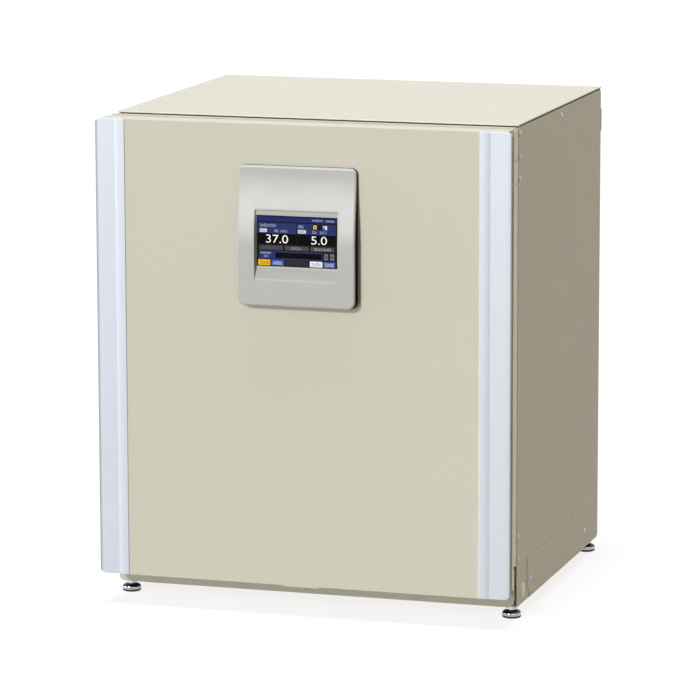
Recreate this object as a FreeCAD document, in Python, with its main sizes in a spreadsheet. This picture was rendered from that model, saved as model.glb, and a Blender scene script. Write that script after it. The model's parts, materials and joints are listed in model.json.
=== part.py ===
import FreeCAD, Part
import math
import os
import Sketcher

V = FreeCAD.Vector

# Laboratory incubator: a heated, gas-controlled chamber behind an insulated
# outer door and an inner glass door.  Millimetres, +Z up, front towards -Y.
# Origin: centre of the footprint, on the surface the levelling feet rest on.
# Depths are kept in the sheet as distances behind the door's front face
# ("yp"), and moved to the frame by front_y.

doc = FreeCAD.newDocument("laboratory_incubator")
sheet = doc.addObject("Spreadsheet::Sheet", "dims")

DIMS = [
    ("front_y", -351.0, "door front face, Y"),
    ("cab_half", 374.0, "half width of the cabinet"),
    ("door_half", 385.0, "half width over the door trims"),
    ("door_body_half", 377.0, "half width of the door body"),
    ("sheet_thk", 1.2, "painted sheet thickness"),
    ("skin_thk", 1.0, "door and liner sheet thickness"),
    ("top_z", 890.0, "cabinet top"),
    ("cab_bottom", 20.0, "lower edge of the cabinet"),
    ("panel_top", 885.4, "top edge of the side panels"),
    ("cover_bottom", 887.6, "lower edge of the top cover's flange"),
    ("wrap_front", 92.0, "front edge of the panels, yp"),
    ("wrap_back", 700.0, "rear face of the back panel, yp"),
    ("door_z_low", 55.0, "door bottom"),
    ("door_z_high", 887.5, "door top"),
    ("door_thk", 46.0, "door thickness"),
    ("trim_in", 328.5, "inner edge of the side trims"),
    ("trim_step", 347.5, "shoulder of the side trims"),
    ("grip_front", 12.0, "front wall of the grip channel, yp"),
    ("grip_back", 30.0, "rear wall of the grip channel, yp"),
    ("grip_in", 360.0, "bottom of the grip channel, X"),
    ("frame_front", 60.0, "front face of the front frame, yp"),
    ("frame_step", 70.0, "rear of the frame's wide strip, yp"),
    ("frame_back", 95.0, "rear face of the front frame, yp"),
    ("kick_front", 71.0, "front face of the kick plate, yp"),
    ("frame_in", 336.0, "frame opening half width"),
    ("frame_low", 96.0, "frame opening bottom"),
    ("frame_high", 824.0, "frame opening top"),
    ("chamber_half", 321.5, "chamber half width"),
    ("chamber_low", 110.0, "chamber floor"),
    ("chamber_high", 810.0, "chamber ceiling"),
    ("chamber_front", 80.0, "chamber mouth, yp"),
    ("chamber_back", 603.0, "chamber rear wall, yp"),
    ("chamber_radius", 22.0, "chamber corner radius"),
    ("insul_half", 372.0, "insulation half width"),
    ("insul_low", 60.0, "insulation bottom"),
    ("insul_high", 884.0, "insulation top"),
    ("insul_back", 653.0, "insulation rear face, yp"),
    ("mat_thk", 1.5, "heater mat thickness"),
    ("foot_x", 362.0, "levelling foot centre, X"),
    ("foot_front", 103.5, "front feet, yp"),
    ("foot_rear", 658.0, "rear feet, yp"),
    ("foot_radius", 17.5, "foot pad radius"),
    ("stud_radius", 5.0, "foot stud radius"),
    ("console_half", 109.0, "console half width"),
    ("console_x", -2.5, "console centre, X"),
    ("console_low", 565.0, "console bottom"),
    ("console_high", 815.0, "console top"),
    ("console_out", 20.0, "console projection"),
    ("window_half", 77.0, "screen recess half width"),
    ("window_low", 611.0, "screen recess bottom"),
    ("window_high", 736.0, "screen recess top"),
    ("screen_half", 75.0, "screen half width"),
    ("screen_low", 636.0, "screen bottom"),
    ("screen_high", 727.0, "screen top"),
    ("hinge_x", -379.0, "outer door hinge axis, X"),
    ("hinge_yp", 53.0, "outer door hinge axis, yp"),
    ("hinge_pin", 3.0, "outer hinge pin radius"),
    ("hinge_fit", 0.05, "running clearance of the hinge pins"),
    ("knuckle", 5.5, "outer hinge knuckle radius"),
    ("inner_x", -331.5, "inner door hinge axis, X"),
    ("inner_yp", 62.5, "inner door hinge axis, yp"),
    ("inner_pin", 2.0, "inner hinge pin radius"),
    ("inner_knuckle", 3.6, "inner hinge knuckle radius"),
    ("glass_front", 66.8, "inner door front face, yp"),
    ("glass_thk", 5.0, "inner door thickness"),
    ("glass_half", 331.0, "inner door half width"),
    ("shelf_half", 308.0, "shelf half width"),
    ("shelf_front", 122.0, "shelf front edge, yp"),
    ("shelf_back", 552.0, "shelf rear edge, yp"),
    ("shelf_depth", 12.0, "shelf flange height"),
    ("shelf_low", 262.0, "top face of the lowest shelf"),
    ("shelf_pitch", 130.0, "spacing of the shelves"),
    ("pan_half", 250.0, "humidity pan half width"),
    ("pan_front", 122.0, "humidity pan front, yp"),
    ("pan_back", 500.0, "humidity pan rear, yp"),
    ("pan_height", 36.0, "humidity pan height"),
    ("duct_half", 230.0, "rear duct half width"),
    ("duct_front", 571.0, "rear duct front face, yp"),
    ("fan_z", 720.0, "fan axis height"),
    ("fan_radius", 60.0, "fan wheel radius"),
    ("port_x", -270.0, "access port, X"),
    ("port_z", 640.0, "access port, Z"),
    ("gas_x", 200.0, "gas line, X"),
    ("gas_z", 350.0, "gas inlet height"),
    ("barb_radius", 4.0, "gas barb radius"),
]
NUM = {}
for row, (alias, value, note) in enumerate(DIMS, start=1):
    sheet.set("A%d" % row, note)
    sheet.set("B%d" % row, "%g" % value)
    sheet.setAlias("B%d" % row, alias)
    NUM[alias] = value
doc.recompute()


class Size:
    """A number with the sheet expression that it comes from."""

    def __init__(self, value, text):
        self.v, self.t = float(value), text

    def __add__(self, o):
        o = sz(o)
        return Size(self.v + o.v, "(%s + %s)" % (self.t, o.t))

    __radd__ = __add__

    def __sub__(self, o):
        o = sz(o)
        return Size(self.v - o.v, "(%s - %s)" % (self.t, o.t))

    def __rsub__(self, o):
        return sz(o) - self

    def __mul__(self, k):
        return Size(self.v * k, "(%s * %.6f)" % (self.t, k))

    __rmul__ = __mul__

    def __neg__(self):
        return self * -1.0


def sz(o):
    return o if isinstance(o, Size) else Size(o, "(%.6f)" % float(o))


class Sheet:
    def __getattr__(self, alias):
        return Size(NUM[alias], "dims." + alias)


D = Sheet()


def Y(yp):
    """Frame Y of a depth behind the door's front face."""
    return sz(yp) + D.front_y


NODES = []
count = [0]


def fresh(kind, stem):
    count[0] += 1
    return doc.addObject(kind, "%s_%03d" % (stem, count[0]))


def bind(obj, prop, value):
    obj.setExpression(prop, sz(value).t)


def node(obj, name):
    obj.Label = name
    NODES.append(obj)
    return obj


def place(obj, x, y, z, rot=None):
    if rot is not None:
        obj.Placement = FreeCAD.Placement(V(0, 0, 0), rot)
    bind(obj, "Placement.Base.x", x)
    bind(obj, "Placement.Base.y", y)
    bind(obj, "Placement.Base.z", z)


def box(x0, x1, y0, y1, z0, z1):
    """Part::Box from limits; y0 and y1 are depths behind the door's face."""
    b = fresh("Part::Box", "box")
    x0, x1, z0, z1 = sz(x0), sz(x1), sz(z0), sz(z1)
    bind(b, "Length", x1 - x0)
    bind(b, "Width", sz(y1) - sz(y0))
    bind(b, "Height", z1 - z0)
    place(b, x0, Y(y0), z0)
    return b


ROT = {
    "z": FreeCAD.Rotation(V(0, 0, 1), 0),
    "y": FreeCAD.Rotation(V(1, 0, 0), -90),
    "x": FreeCAD.Rotation(V(0, 1, 0), 90),
}


def cyl(axis, x, yp, z, r, length):
    """Part::Cylinder starting at the point and running along +axis."""
    c = fresh("Part::Cylinder", "cyl")
    bind(c, "Radius", r)
    bind(c, "Height", length)
    place(c, x, Y(yp), z, ROT[axis])
    return c


def cone(axis, x, yp, z, r0, r1, length):
    c = fresh("Part::Cone", "cone")
    bind(c, "Radius1", r0)
    bind(c, "Radius2", r1)
    bind(c, "Height", length)
    place(c, x, Y(yp), z, ROT[axis])
    return c


def sphere(x, yp, z, r):
    s = fresh("Part::Sphere", "ball")
    bind(s, "Radius", r)
    place(s, x, Y(yp), z)
    return s


def fuse(*objs):
    f = fresh("Part::MultiFuse", "fuse")
    f.Shapes = list(objs)
    f.Refine = True
    return f


def common(a, b):
    f = fresh("Part::MultiCommon", "common")
    f.Shapes = [a, b]
    return f


def cut(base, *tools):
    c = fresh("Part::Cut", "cut")
    c.Base = base
    if len(tools) == 1:
        c.Tool = tools[0]
    else:
        m = fresh("Part::MultiFuse", "toolfuse")
        m.Shapes = list(tools)
        c.Tool = m
    c.Refine = True
    return c


def group(*objs):
    g = fresh("Part::Compound", "group")
    g.Links = list(objs)
    return g


def mirror_x(obj):
    m = fresh("Part::Mirroring", "mirror")
    m.Source = obj
    m.Base = V(0, 0, 0)
    m.Normal = V(1, 0, 0)
    return m


def edge_ids(shape, pick):
    ids = []
    for i, e in enumerate(shape.Edges, start=1):
        b = e.BoundBox
        if pick(e, b):
            ids.append(i)
    return ids


def round_edges(base, r, pick):
    """Part::Fillet on the edges that pick accepts."""
    doc.recompute()
    ids = edge_ids(base.Shape, pick)
    assert ids, "no edges to round on " + base.Name
    f = fresh("Part::Fillet", "fillet")
    f.Base = base
    r = sz(r).v
    f.Edges = [(i, r, r) for i in ids]
    return f


def along(axis):
    """Edges that are straight and run along one axis."""

    def pick(e, b):
        size = {"x": b.XLength, "y": b.YLength, "z": b.ZLength}
        rest = [v for k, v in size.items() if k != axis]
        return size[axis] > 0.5 and max(rest) < 1e-4

    return pick


# PartDesign helpers -------------------------------------------------------

PLANES = {"XY": "XY_Plane", "XZ": "XZ_Plane", "YZ": "YZ_Plane"}


def new_body(name):
    b = doc.addObject("PartDesign::Body", name)
    b.Label = name
    NODES.append(b)
    return b


def sketch_on(body, plane, offset=0.0):
    """A sketch on one of the body's origin planes, moved along its normal.
    XY: local x, y are X, Y.  XZ: local x, y are X, Z, normal -Y.
    YZ: local x, y are Y, Z, normal +X."""
    sk = body.newObject("Sketcher::SketchObject", "sk_%03d" % (count[0] + 1))
    count[0] += 1
    for f in body.Origin.OriginFeatures:
        if f.Role == PLANES[plane]:
            sk.AttachmentSupport = (f, [""])
    sk.MapMode = "FlatFace"
    bind(sk, "AttachmentOffset.Base.z", offset)
    return sk


def draw(sk, pts):
    """A closed polygon whose corners are tied to the sheet."""
    pts = [(sz(a), sz(b)) for a, b in pts]
    n, base = len(pts), sk.GeometryCount
    geo = []
    for i in range(n):
        a, b = pts[i], pts[(i + 1) % n]
        geo.append(Part.LineSegment(V(a[0].v, a[1].v, 0), V(b[0].v, b[1].v, 0)))
    sk.addGeometry(geo, False)
    for i in range(n):
        sk.addConstraint(Sketcher.Constraint("Coincident", base + i, 2, base + (i + 1) % n, 1))
    for i in range(n):
        for kind, q in (("DistanceX", pts[i][0]), ("DistanceY", pts[i][1])):
            k = sk.addConstraint(Sketcher.Constraint(kind, -1, 1, base + i, 1, q.v))
            sk.setExpression("Constraints[%d]" % k, q.t)
    return sk


def circle(sk, x, y, r):
    x, y, r = sz(x), sz(y), sz(r)
    g = sk.addGeometry(Part.Circle(V(x.v, y.v, 0), V(0, 0, 1), r.v), False)
    for kind, q in (("DistanceX", x), ("DistanceY", y)):
        k = sk.addConstraint(Sketcher.Constraint(kind, -1, 1, g, 3, q.v))
        sk.setExpression("Constraints[%d]" % k, q.t)
    k = sk.addConstraint(Sketcher.Constraint("Radius", g, r.v))
    sk.setExpression("Constraints[%d]" % k, r.t)
    return sk


def rect(x0, x1, y0, y1):
    return [(x0, y0), (x1, y0), (x1, y1), (x0, y1)]


def pad(body, sk, length, back=False, both=False):
    p = body.newObject("PartDesign::Pad", "pad_%03d" % (count[0] + 1))
    count[0] += 1
    p.Profile = sk
    bind(p, "Length", length)
    p.Reversed = back
    p.Midplane = both
    sk.Visibility = False
    return p


def pocket(body, sk, length, back=False, both=False, through=False):
    p = body.newObject("PartDesign::Pocket", "pocket_%03d" % (count[0] + 1))
    count[0] += 1
    p.Profile = sk
    if through:
        p.Type = "ThroughAll"
    else:
        bind(p, "Length", length)
    p.Reversed = back
    p.Midplane = both
    before = body_volume(body, p)
    doc.recompute()
    assert p.Shape.Volume < before - 0.5, "a pocket cut nothing in " + body.Name
    return p


def cut_through(body, sk, name):
    """A pocket through everything on both sides of its sketch."""
    p = body.newObject("PartDesign::Pocket", name)
    count[0] += 1
    p.Profile = sk
    p.Type = "ThroughAll"
    p.Midplane = True
    doc.recompute()
    assert p.Shape.Volume < p.BaseFeature.Shape.Volume - 0.5, name + " cut nothing"
    return p


def shell_open(body, wall, pick):
    """Hollow the body to a wall thickness, open at the faces pick accepts."""
    base = body.Tip
    ids = [i for i, f in enumerate(base.Shape.Faces, start=1) if pick(f)]
    assert ids, "no open face on " + body.Name
    t = body.newObject("PartDesign::Thickness", "shell_%03d" % (count[0] + 1))
    count[0] += 1
    t.Base = (base, ["Face%d" % i for i in ids])
    bind(t, "Value", wall)
    t.Reversed = True
    t.Mode = 0
    t.Join = 0
    doc.recompute()
    assert t.Shape.Volume < 0.5 * base.Shape.Volume, "not hollow: " + body.Name
    return t


def body_volume(body, skip):
    base = skip.BaseFeature
    if base is None:
        return 1e18
    doc.recompute()
    return base.Shape.Volume


def pd_fillet(body, r, pick, kind="PartDesign::Fillet"):
    doc.recompute()
    base = body.Tip
    ids = edge_ids(base.Shape, pick)
    assert ids, "no edges to round on " + body.Name
    f = body.newObject(kind, "round_%03d" % (count[0] + 1))
    count[0] += 1
    f.Base = (base, ["Edge%d" % i for i in ids])
    if kind.endswith("Fillet"):
        bind(f, "Radius", r)
    else:
        bind(f, "Size", r)
    return f


def pattern(body, features, axis_sketch, axis_name, length, occurrences):
    p = body.newObject("PartDesign::LinearPattern", "row_%03d" % (count[0] + 1))
    count[0] += 1
    p.Originals = features
    p.Direction = (axis_sketch, [axis_name])
    bind(p, "Length", length)
    p.Occurrences = occurrences
    body.Tip = p
    return p


def near(value, target, tol=0.02):
    return abs(value - target) < tol


def fixed(b, **want):
    """True where the bounds of an edge match: x=.., y=.., z=.. within 0.02."""
    for k, target in want.items():
        lo, hi = {"x": (b.XMin, b.XMax), "y": (b.YMin, b.YMax), "z": (b.ZMin, b.ZMax)}[k]
        if not (near(lo, target) and near(hi, target)):
            return False
    return True


# ---------------------------------------------------------------- cabinet
# Holes in the rear wall of the chamber: (x, z, radius)
REAR_HOLES = [
    (sz(0), D.fan_z, sz(8.0)),
    (sz(-160.0), D.fan_z + 20.0, sz(3.6)),
    (D.gas_x, D.fan_z - 20.0, sz(4.2)),
    (D.port_x, D.port_z, sz(17.2)),
]


def rear_holes(y0, y1):
    return [cyl("y", x, y0, z, r, sz(y1) - sz(y0)) for x, z, r in REAR_HOLES]


# top cover: a shallow pressed pan
top = new_body("top_cover")
sk = draw(sketch_on(top, "XY", D.cover_bottom), rect(-D.cab_half, D.cab_half, Y(D.wrap_front), Y(D.wrap_back)))
pad(top, sk, D.top_z - D.cover_bottom)
pd_fillet(top, 1.0, lambda e, b: near(b.ZMin, NUM["top_z"]) and near(b.ZMax, NUM["top_z"]))
sk = draw(
    sketch_on(top, "XY", D.cover_bottom),
    rect(-D.cab_half + D.sheet_thk, D.cab_half - D.sheet_thk, Y(D.wrap_front + D.sheet_thk), Y(D.wrap_back - D.sheet_thk)),
)
pocket(top, sk, D.top_z - D.cover_bottom - D.sheet_thk, back=True)
# two rails under the sheet rest on the insulation and keep the reveal open
sk = sketch_on(top, "XY", D.insul_high + 0.1)
draw(sk, rect(300.0, 310.0, Y(110.0), Y(640.0)))
draw(sk, rect(-310.0, -300.0, Y(110.0), Y(640.0)))
pad(top, sk, D.top_z - D.sheet_thk + 0.3 - D.insul_high)

# side panels: folded sheets; the right one has a service opening and the
# holes for the plugs and screws
PLUG_Z = [873.0, 832.0, 792.5, 146.5, 107.0]
PLUG_YP = 100.0
CAP = (133.0, 43.0)
COVER_SCREWS = [(182.0, 56.0), (590.0, 54.5)]
SIDE_SCREW = (397.0, 872.0)


def side_panel(name, sign):
    b = new_body(name)
    inner = (D.cab_half - D.sheet_thk) * sign
    prof = [
        (Y(D.wrap_front), D.cab_bottom),
        (Y(D.wrap_back), D.cab_bottom),
        (Y(D.wrap_back), D.panel_top),
        (Y(D.wrap_front), D.panel_top),
    ]
    sk = draw(sketch_on(b, "YZ", inner), prof)
    pad(b, sk, D.sheet_thk, back=sign < 0)
    y_back = NUM["front_y"] + NUM["wrap_back"]
    pd_fillet(b, 9.0, lambda e, q: near(q.YMin, y_back) and near(q.YMax, y_back) and q.ZLength < 1e-3)
    sk = sketch_on(b, "YZ", inner)
    if sign > 0:
        draw(
            sk,
            [
                (Y(177.0), 14.0),
                (Y(606.0), 14.0),
                (Y(606.0), 96.0),
                (Y(164.0), 96.0),
                (Y(164.0), 41.0),
                (Y(177.0), 30.0),
            ],
        )
        for z in PLUG_Z:
            circle(sk, Y(PLUG_YP), z, 3.8)
        circle(sk, Y(CAP[0]), CAP[1], 13.2)
    circle(sk, Y(SIDE_SCREW[0]), SIDE_SCREW[1], 2.2)
    pocket(b, sk, D.sheet_thk + 2.0, back=sign > 0)
    return b


side_panel("right_side_panel", 1)
side_panel("left_side_panel", -1)

# service cover in the right panel's opening
cov = new_body("side_service_cover")
sk = draw(
    sketch_on(cov, "YZ", D.cab_half - D.sheet_thk),
    [
        (Y(177.7), D.cab_bottom),
        (Y(605.3), D.cab_bottom),
        (Y(605.3), 95.3),
        (Y(164.7), 95.3),
        (Y(164.7), 41.3),
        (Y(177.7), 30.3),
    ],
)
pad(cov, sk, D.sheet_thk + 1.0)
sk = sketch_on(cov, "YZ", D.cab_half - D.sheet_thk)
for yp, z in COVER_SCREWS:
    circle(sk, Y(yp), z, 2.2)
pocket(cov, sk, D.sheet_thk + 3.0, back=True)

# plugs: domed caps with stems in the side panel
plugs = []
for z in PLUG_Z:
    head = common(
        sphere(D.cab_half - 9.4, PLUG_YP, z, 11.0),
        cyl("x", D.cab_half, PLUG_YP, z, 5.5, 4.0),
    )
    plugs.append(fuse(head, cyl("x", D.cab_half - 2.2, PLUG_YP, z, 3.6, 2.4)))
capd = fuse(
    common(
        sphere(D.cab_half - 60.0, CAP[0], CAP[1], 62.0),
        cyl("x", D.cab_half, CAP[0], CAP[1], 15.0, 4.0),
    ),
    cyl("x", D.cab_half - 8.0, CAP[0], CAP[1], 12.9, 8.2),
)
node(group(*(plugs + [capd])), "side_plugs")


def screw_x(x, yp, z, sign, shank=7.0, head=4.2):
    """Pan-head screw whose head sits on a face normal to X."""
    if sign > 0:
        parts = [
            common(sphere(sz(x) - 3.2, yp, z, 5.3), cyl("x", x, yp, z, head, 4.0)),
            cyl("x", sz(x) - shank, yp, z, 1.9, shank + 0.2),
        ]
    else:
        parts = [
            common(sphere(sz(x) + 3.2, yp, z, 5.3), cyl("x", sz(x) - 4.0, yp, z, head, 4.0)),
            cyl("x", sz(x) - 0.2, yp, z, 1.9, shank + 0.2),
        ]
    return fuse(*parts)


screws = [screw_x(D.cab_half, SIDE_SCREW[0], SIDE_SCREW[1], 1, 2.1)]
screws += [screw_x(-D.cab_half, SIDE_SCREW[0], SIDE_SCREW[1], -1, 2.1)]
screws += [screw_x(D.cab_half + 1.0, yp, z, 1) for yp, z in COVER_SCREWS]
BACK_SCREWS = [(-360.0, 60.0), (360.0, 60.0), (-360.0, 440.0), (360.0, 440.0), (-360.0, 868.0), (360.0, 868.0)]
for x, z in BACK_SCREWS:
    screws.append(
        fuse(
            common(sphere(x, D.wrap_back - 3.2, z, 5.3), cyl("y", x, D.wrap_back, z, 4.2, 4.0)),
            cyl("y", x, D.wrap_back - 8.0, z, 1.9, 8.2),
        )
    )
# back panel: louvred sheet with the service cut-outs
back = new_body("back_panel")
sk = draw(
    sketch_on(back, "XZ", -Y(D.wrap_back - D.sheet_thk)),
    rect(-D.cab_half + D.sheet_thk + 0.4, D.cab_half - D.sheet_thk - 0.4, D.cab_bottom + 1.0, D.cover_bottom - 1.0),
)
pad(back, sk, D.sheet_thk, back=True)
sk = sketch_on(back, "XZ", -Y(D.wrap_back - D.sheet_thk))
circle(sk, D.port_x, D.port_z, 17.3)
circle(sk, D.gas_x, D.gas_z, 6.3)
draw(sk, rect(285.5, 314.5, 139.5, 160.5))
draw(sk, rect(225.5, 254.5, 136.5, 163.5))
for x, z in BACK_SCREWS:
    circle(sk, x, z, 2.2)
cut_through(back, sk, "back_holes")
sk = draw(sketch_on(back, "XZ", -Y(D.wrap_back - D.sheet_thk)), rect(-70.0, 70.0, 300.0, 305.0))
slot = cut_through(back, sk, "louvre")
pattern(back, [slot], sk, "V_Axis", 96.0, 9)
doc.recompute()

# base pan with the bushes for the feet
base = new_body("base_pan")
sk = draw(
    sketch_on(base, "XY", D.cab_bottom),
    rect(-D.cab_half + D.sheet_thk + 0.4, D.cab_half - D.sheet_thk - 0.4, Y(D.wrap_front + 3.0), Y(D.wrap_back - 2.0)),
)
pad(base, sk, 1.6)
FEET = [(-1, "front"), (1, "front"), (-1, "rear"), (1, "rear")]
sk = sketch_on(base, "XY", D.cab_bottom)
for s, where in FEET:
    circle(sk, D.foot_x * s, Y(D.foot_front if where == "front" else D.foot_rear), 8.4)
pad(base, sk, 22.0)
# cross rails that carry the insulated box
sk = sketch_on(base, "XY", D.cab_bottom)
for y0, y1 in ((150.0, 166.0), (612.0, 628.0)):
    draw(sk, rect(-D.insul_half, D.insul_half, Y(y0), Y(y1)))
pad(base, sk, D.insul_low - D.cab_bottom - 0.3)
sk = sketch_on(base, "XY", D.cab_bottom)
for s, where in FEET:
    circle(sk, D.foot_x * s, Y(D.foot_front if where == "front" else D.foot_rear), D.stud_radius + 0.35)
pocket(base, sk, 45.0, back=True)

# kick plate between the base and the door, hung from a flange under the frame
kick = new_body("base_front_panel")
sk = draw(
    sketch_on(kick, "XZ", -Y(D.kick_front)),
    rect(-D.cab_half, D.cab_half, D.cab_bottom + 5.0, D.insul_low - 0.5),
)
pad(kick, sk, D.sheet_thk, back=True)
pd_fillet(kick, 10.0, lambda e, q: q.YLength > 1.0 and q.XLength < 1e-3 and q.ZLength < 1e-3 and q.ZMin < 30)
sk = draw(sketch_on(kick, "XY", D.insul_low - 1.7), rect(-366.0, 366.0, Y(D.kick_front + 0.6), Y(94.0)))
pad(kick, sk, D.sheet_thk)
for sx in (-1.0, 1.0):
    a, b = sorted((372.8 * sx, 374.0 * sx))
    sk = draw(sketch_on(kick, "XY", D.cab_bottom + 17.0), rect(a, b, Y(D.kick_front + 0.6), Y(77.0)))
    pad(kick, sk, D.insul_low - D.cab_bottom - 17.5)
sk = circle(sketch_on(kick, "XZ", -Y(D.kick_front)), -12.5, 43.3, 9.5)
cut_through(kick, sk, "latch_hole")

# front frame: stepped ring around the chamber mouth
wide = cut(
    box(-D.cab_half, D.cab_half, D.frame_front, D.frame_step, 57.0, D.top_z - 2.0),
    box(-D.frame_in, D.frame_in, D.frame_front - 1.0, D.frame_step + 1.0, D.frame_low, D.frame_high),
)
mid = cut(
    box(-D.cab_half + 0.6, D.cab_half - 0.6, D.frame_step, 81.2, 60.0, 885.0),
    box(-D.frame_in, D.frame_in, D.frame_step - 1.0, 82.0, D.frame_low, D.frame_high),
)
rear = cut(
    fuse(
        box(-D.cab_half + 0.6, D.cab_half - 0.6, 81.2, 91.2, 60.0, 885.0),
        box(-D.cab_half + 2.6, D.cab_half - 2.6, 90.0, D.frame_back, 60.0, 882.0),
    ),
    box(-D.chamber_half - 1.7, D.chamber_half + 1.7, 80.0, D.frame_back + 1.0, D.chamber_low - 1.7, D.chamber_high + 1.7),
)
ring = fuse(wide, mid, rear)
# the top corners are relieved where the cover and the panels meet
relief = []
for a, b in ((358.0, 378.0), (-378.0, -358.0)):
    relief.append(box(a, b, 70.0, 91.5, 881.0, 892.0))
    # below the notch the frame's side stops short of the panels, in line with the kick plate
    relief.append(box(a, b, 77.0, 92.0, 59.0, 97.0))
    relief.append(box(a, b, 72.0, 84.0, 93.0, 98.5))
node(cut(ring, *relief), "front_frame")

# screws along the frame on the right, and on the hinge bracket plates on the left
fs = []
for z in (828.0, 786.0, 141.0):
    sx = D.cab_half - 0.6
    fs.append(common(sphere(sx - 3.0, 76.0, z, 4.4), cyl("x", sx, 76.0, z, 3.2, 3.0)))
for z in (822.0, 779.0, 171.0, 129.0):
    sx = D.cab_half + 2.0
    fs.append(common(sphere(-sx + 3.0, 76.0, z, 4.4), cyl("x", -sx - 3.0, 76.0, z, 3.2, 3.0)))
node(group(*(screws + fs)), "panel_screws")

# insulation: one moulded block around the heated liner
room = box(
    -D.chamber_half - 2.5, D.chamber_half + 2.5, D.frame_back - 1.0, D.chamber_back + 2.5,
    D.chamber_low - 2.5, D.chamber_high + 2.5,
)
block = box(-D.insul_half + 0.4, D.insul_half - 0.4, D.frame_back, D.insul_back, D.insul_low, D.insul_high)
node(cut(block, room, *rear_holes(590.0, 660.0)), "insulation")

# chamber liner: stainless box with rounded corners and a front flange
ch0, ch1 = D.chamber_low, D.chamber_high


def liner_block(grow, front, radius):
    g = sz(grow)
    b = box(-D.chamber_half - g, D.chamber_half + g, front, D.chamber_back + g, ch0 - g, ch1 + g)
    yb = NUM["front_y"] + NUM["chamber_back"] + g.v
    yf = NUM["front_y"] + sz(front).v
    return round_edges(b, radius, lambda e, q: not (near(q.YMin, yf) and near(q.YMax, yf)))


outer = liner_block(D.skin_thk, D.chamber_front, D.chamber_radius + D.skin_thk)
inner = liner_block(0.0, 70.0, D.chamber_radius)
flange = box(-D.frame_in + 0.5, D.frame_in - 0.5, D.chamber_front, 81.0, D.frame_low + 0.5, D.frame_high - 0.5)
node(cut(fuse(outer, flange), inner, *rear_holes(590.0, 620.0)), "chamber_liner")

# heater mats on the outside of the liner
c1 = D.chamber_half + D.skin_thk
mats = [
    box(c1 + 0.05, c1 + 1.4, 130.0, 570.0, 150.0, 770.0),
    box(-c1 - 1.4, -c1 - 0.05, 130.0, 570.0, 150.0, 770.0),
    box(-290.0, 290.0, 130.0, 570.0, ch1 + 1.05, ch1 + 2.4),
    box(-290.0, 290.0, 130.0, 570.0, ch0 - 2.4, ch0 - 1.05),
    box(-290.0, 290.0, D.chamber_back + 1.05, D.chamber_back + 2.4, 150.0, 600.0),
]
node(group(*mats), "heater_mats")

# seal for the inner door
ring = cut(
    box(-332.0, 332.0, 72.0, D.chamber_front, 99.5, 820.5),
    box(-323.0, 323.0, 71.0, 81.0, 108.5, 811.5),
)
seal = round_edges(ring, 2.5, lambda e, q: fixed(q, y=NUM["front_y"] + 72.0))
node(seal, "inner_door_seal")

# rear duct: cover over the fan, the lamp and the sensors
duct = new_body("rear_duct")
sk = draw(sketch_on(duct, "XZ", -Y(D.duct_front)), rect(-D.duct_half, D.duct_half, 150.0, 790.0))
pad(duct, sk, D.chamber_back - D.duct_front - 0.2, back=True)
pd_fillet(duct, 2.0, lambda e, q: fixed(q, y=NUM["front_y"] + NUM["duct_front"]))
sk = draw(
    sketch_on(duct, "XZ", -Y(D.duct_front + D.skin_thk)),
    rect(-D.duct_half + D.skin_thk, D.duct_half - D.skin_thk, 140.0, 790.0 - D.skin_thk),
)
hollow = duct.newObject("PartDesign::Pocket", "duct_inside")
hollow.Profile = sk
hollow.Reversed = False
bind(hollow, "Length", 60.0)
doc.recompute()
full = (2 * NUM["duct_half"]) * 640.0 * (NUM["chamber_back"] - NUM["duct_front"])
if hollow.Shape.Volume > 0.5 * full:
    hollow.Reversed = True
    doc.recompute()
assert hollow.Shape.Volume < 0.2 * full, "the duct is not hollow"
sk = circle(sketch_on(duct, "XZ", -Y(D.duct_front)), 0.0, D.fan_z + 32.0, 9.0)
hole = cut_through(duct, sk, "intake_hole")
axis_sk = duct.newObject("Sketcher::SketchObject", "fan_axis")
for f in duct.Origin.OriginFeatures:
    if f.Role == "XY_Plane":
        axis_sk.AttachmentSupport = (f, [""])
axis_sk.MapMode = "FlatFace"
bind(axis_sk, "AttachmentOffset.Base.z", D.fan_z)
polar = duct.newObject("PartDesign::PolarPattern", "intake_ring")
polar.Originals = [hole]
polar.Axis = (axis_sk, ["V_Axis"])
polar.Angle = 360
polar.Occurrences = 9
duct.Tip = polar
doc.recompute()

# fan motor in the rear compartment, with a bore for the fan's shaft
motor = cut(
    fuse(
        cyl("y", 0.0, 654.0, D.fan_z, 34.0, 30.0),
        cyl("y", 0.0, 684.0, D.fan_z, 22.0, 6.0),
        box(-42.0, 42.0, 653.2, 656.5, D.fan_z - 12.0, D.fan_z + 12.0),
    ),
    cyl("y", 0.0, 650.0, D.fan_z, 3.05, 30.0),
)
node(motor, "fan_motor")

# fan wheel: a hub, a back plate and straight blades on its own shaft
wheel_parts = [
    cyl("y", 0.0, 594.0, D.fan_z, D.fan_radius, 2.0),
    cyl("y", 0.0, 580.0, D.fan_z, 12.0, 15.0),
    cyl("y", 0.0, 595.0, D.fan_z, 3.0, 80.0),
]
for k in range(10):
    a = math.radians(36.0 * k)
    blade = fresh("Part::Box", "blade")
    bind(blade, "Length", D.fan_radius - 32.0)
    bind(blade, "Width", 15.0)
    bind(blade, "Height", 1.5)
    turn = FreeCAD.Rotation(V(0, 1, 0), 36.0 * k)
    start = turn.multVec(V(30.0, 0.0, -0.75))
    blade.Placement = FreeCAD.Placement(V(start.x, 0, 0), turn)
    bind(blade, "Placement.Base.y", Y(579.5))
    bind(blade, "Placement.Base.z", D.fan_z + start.z)
    wheel_parts.append(blade)
node(fuse(*wheel_parts), "fan_wheel")

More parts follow.
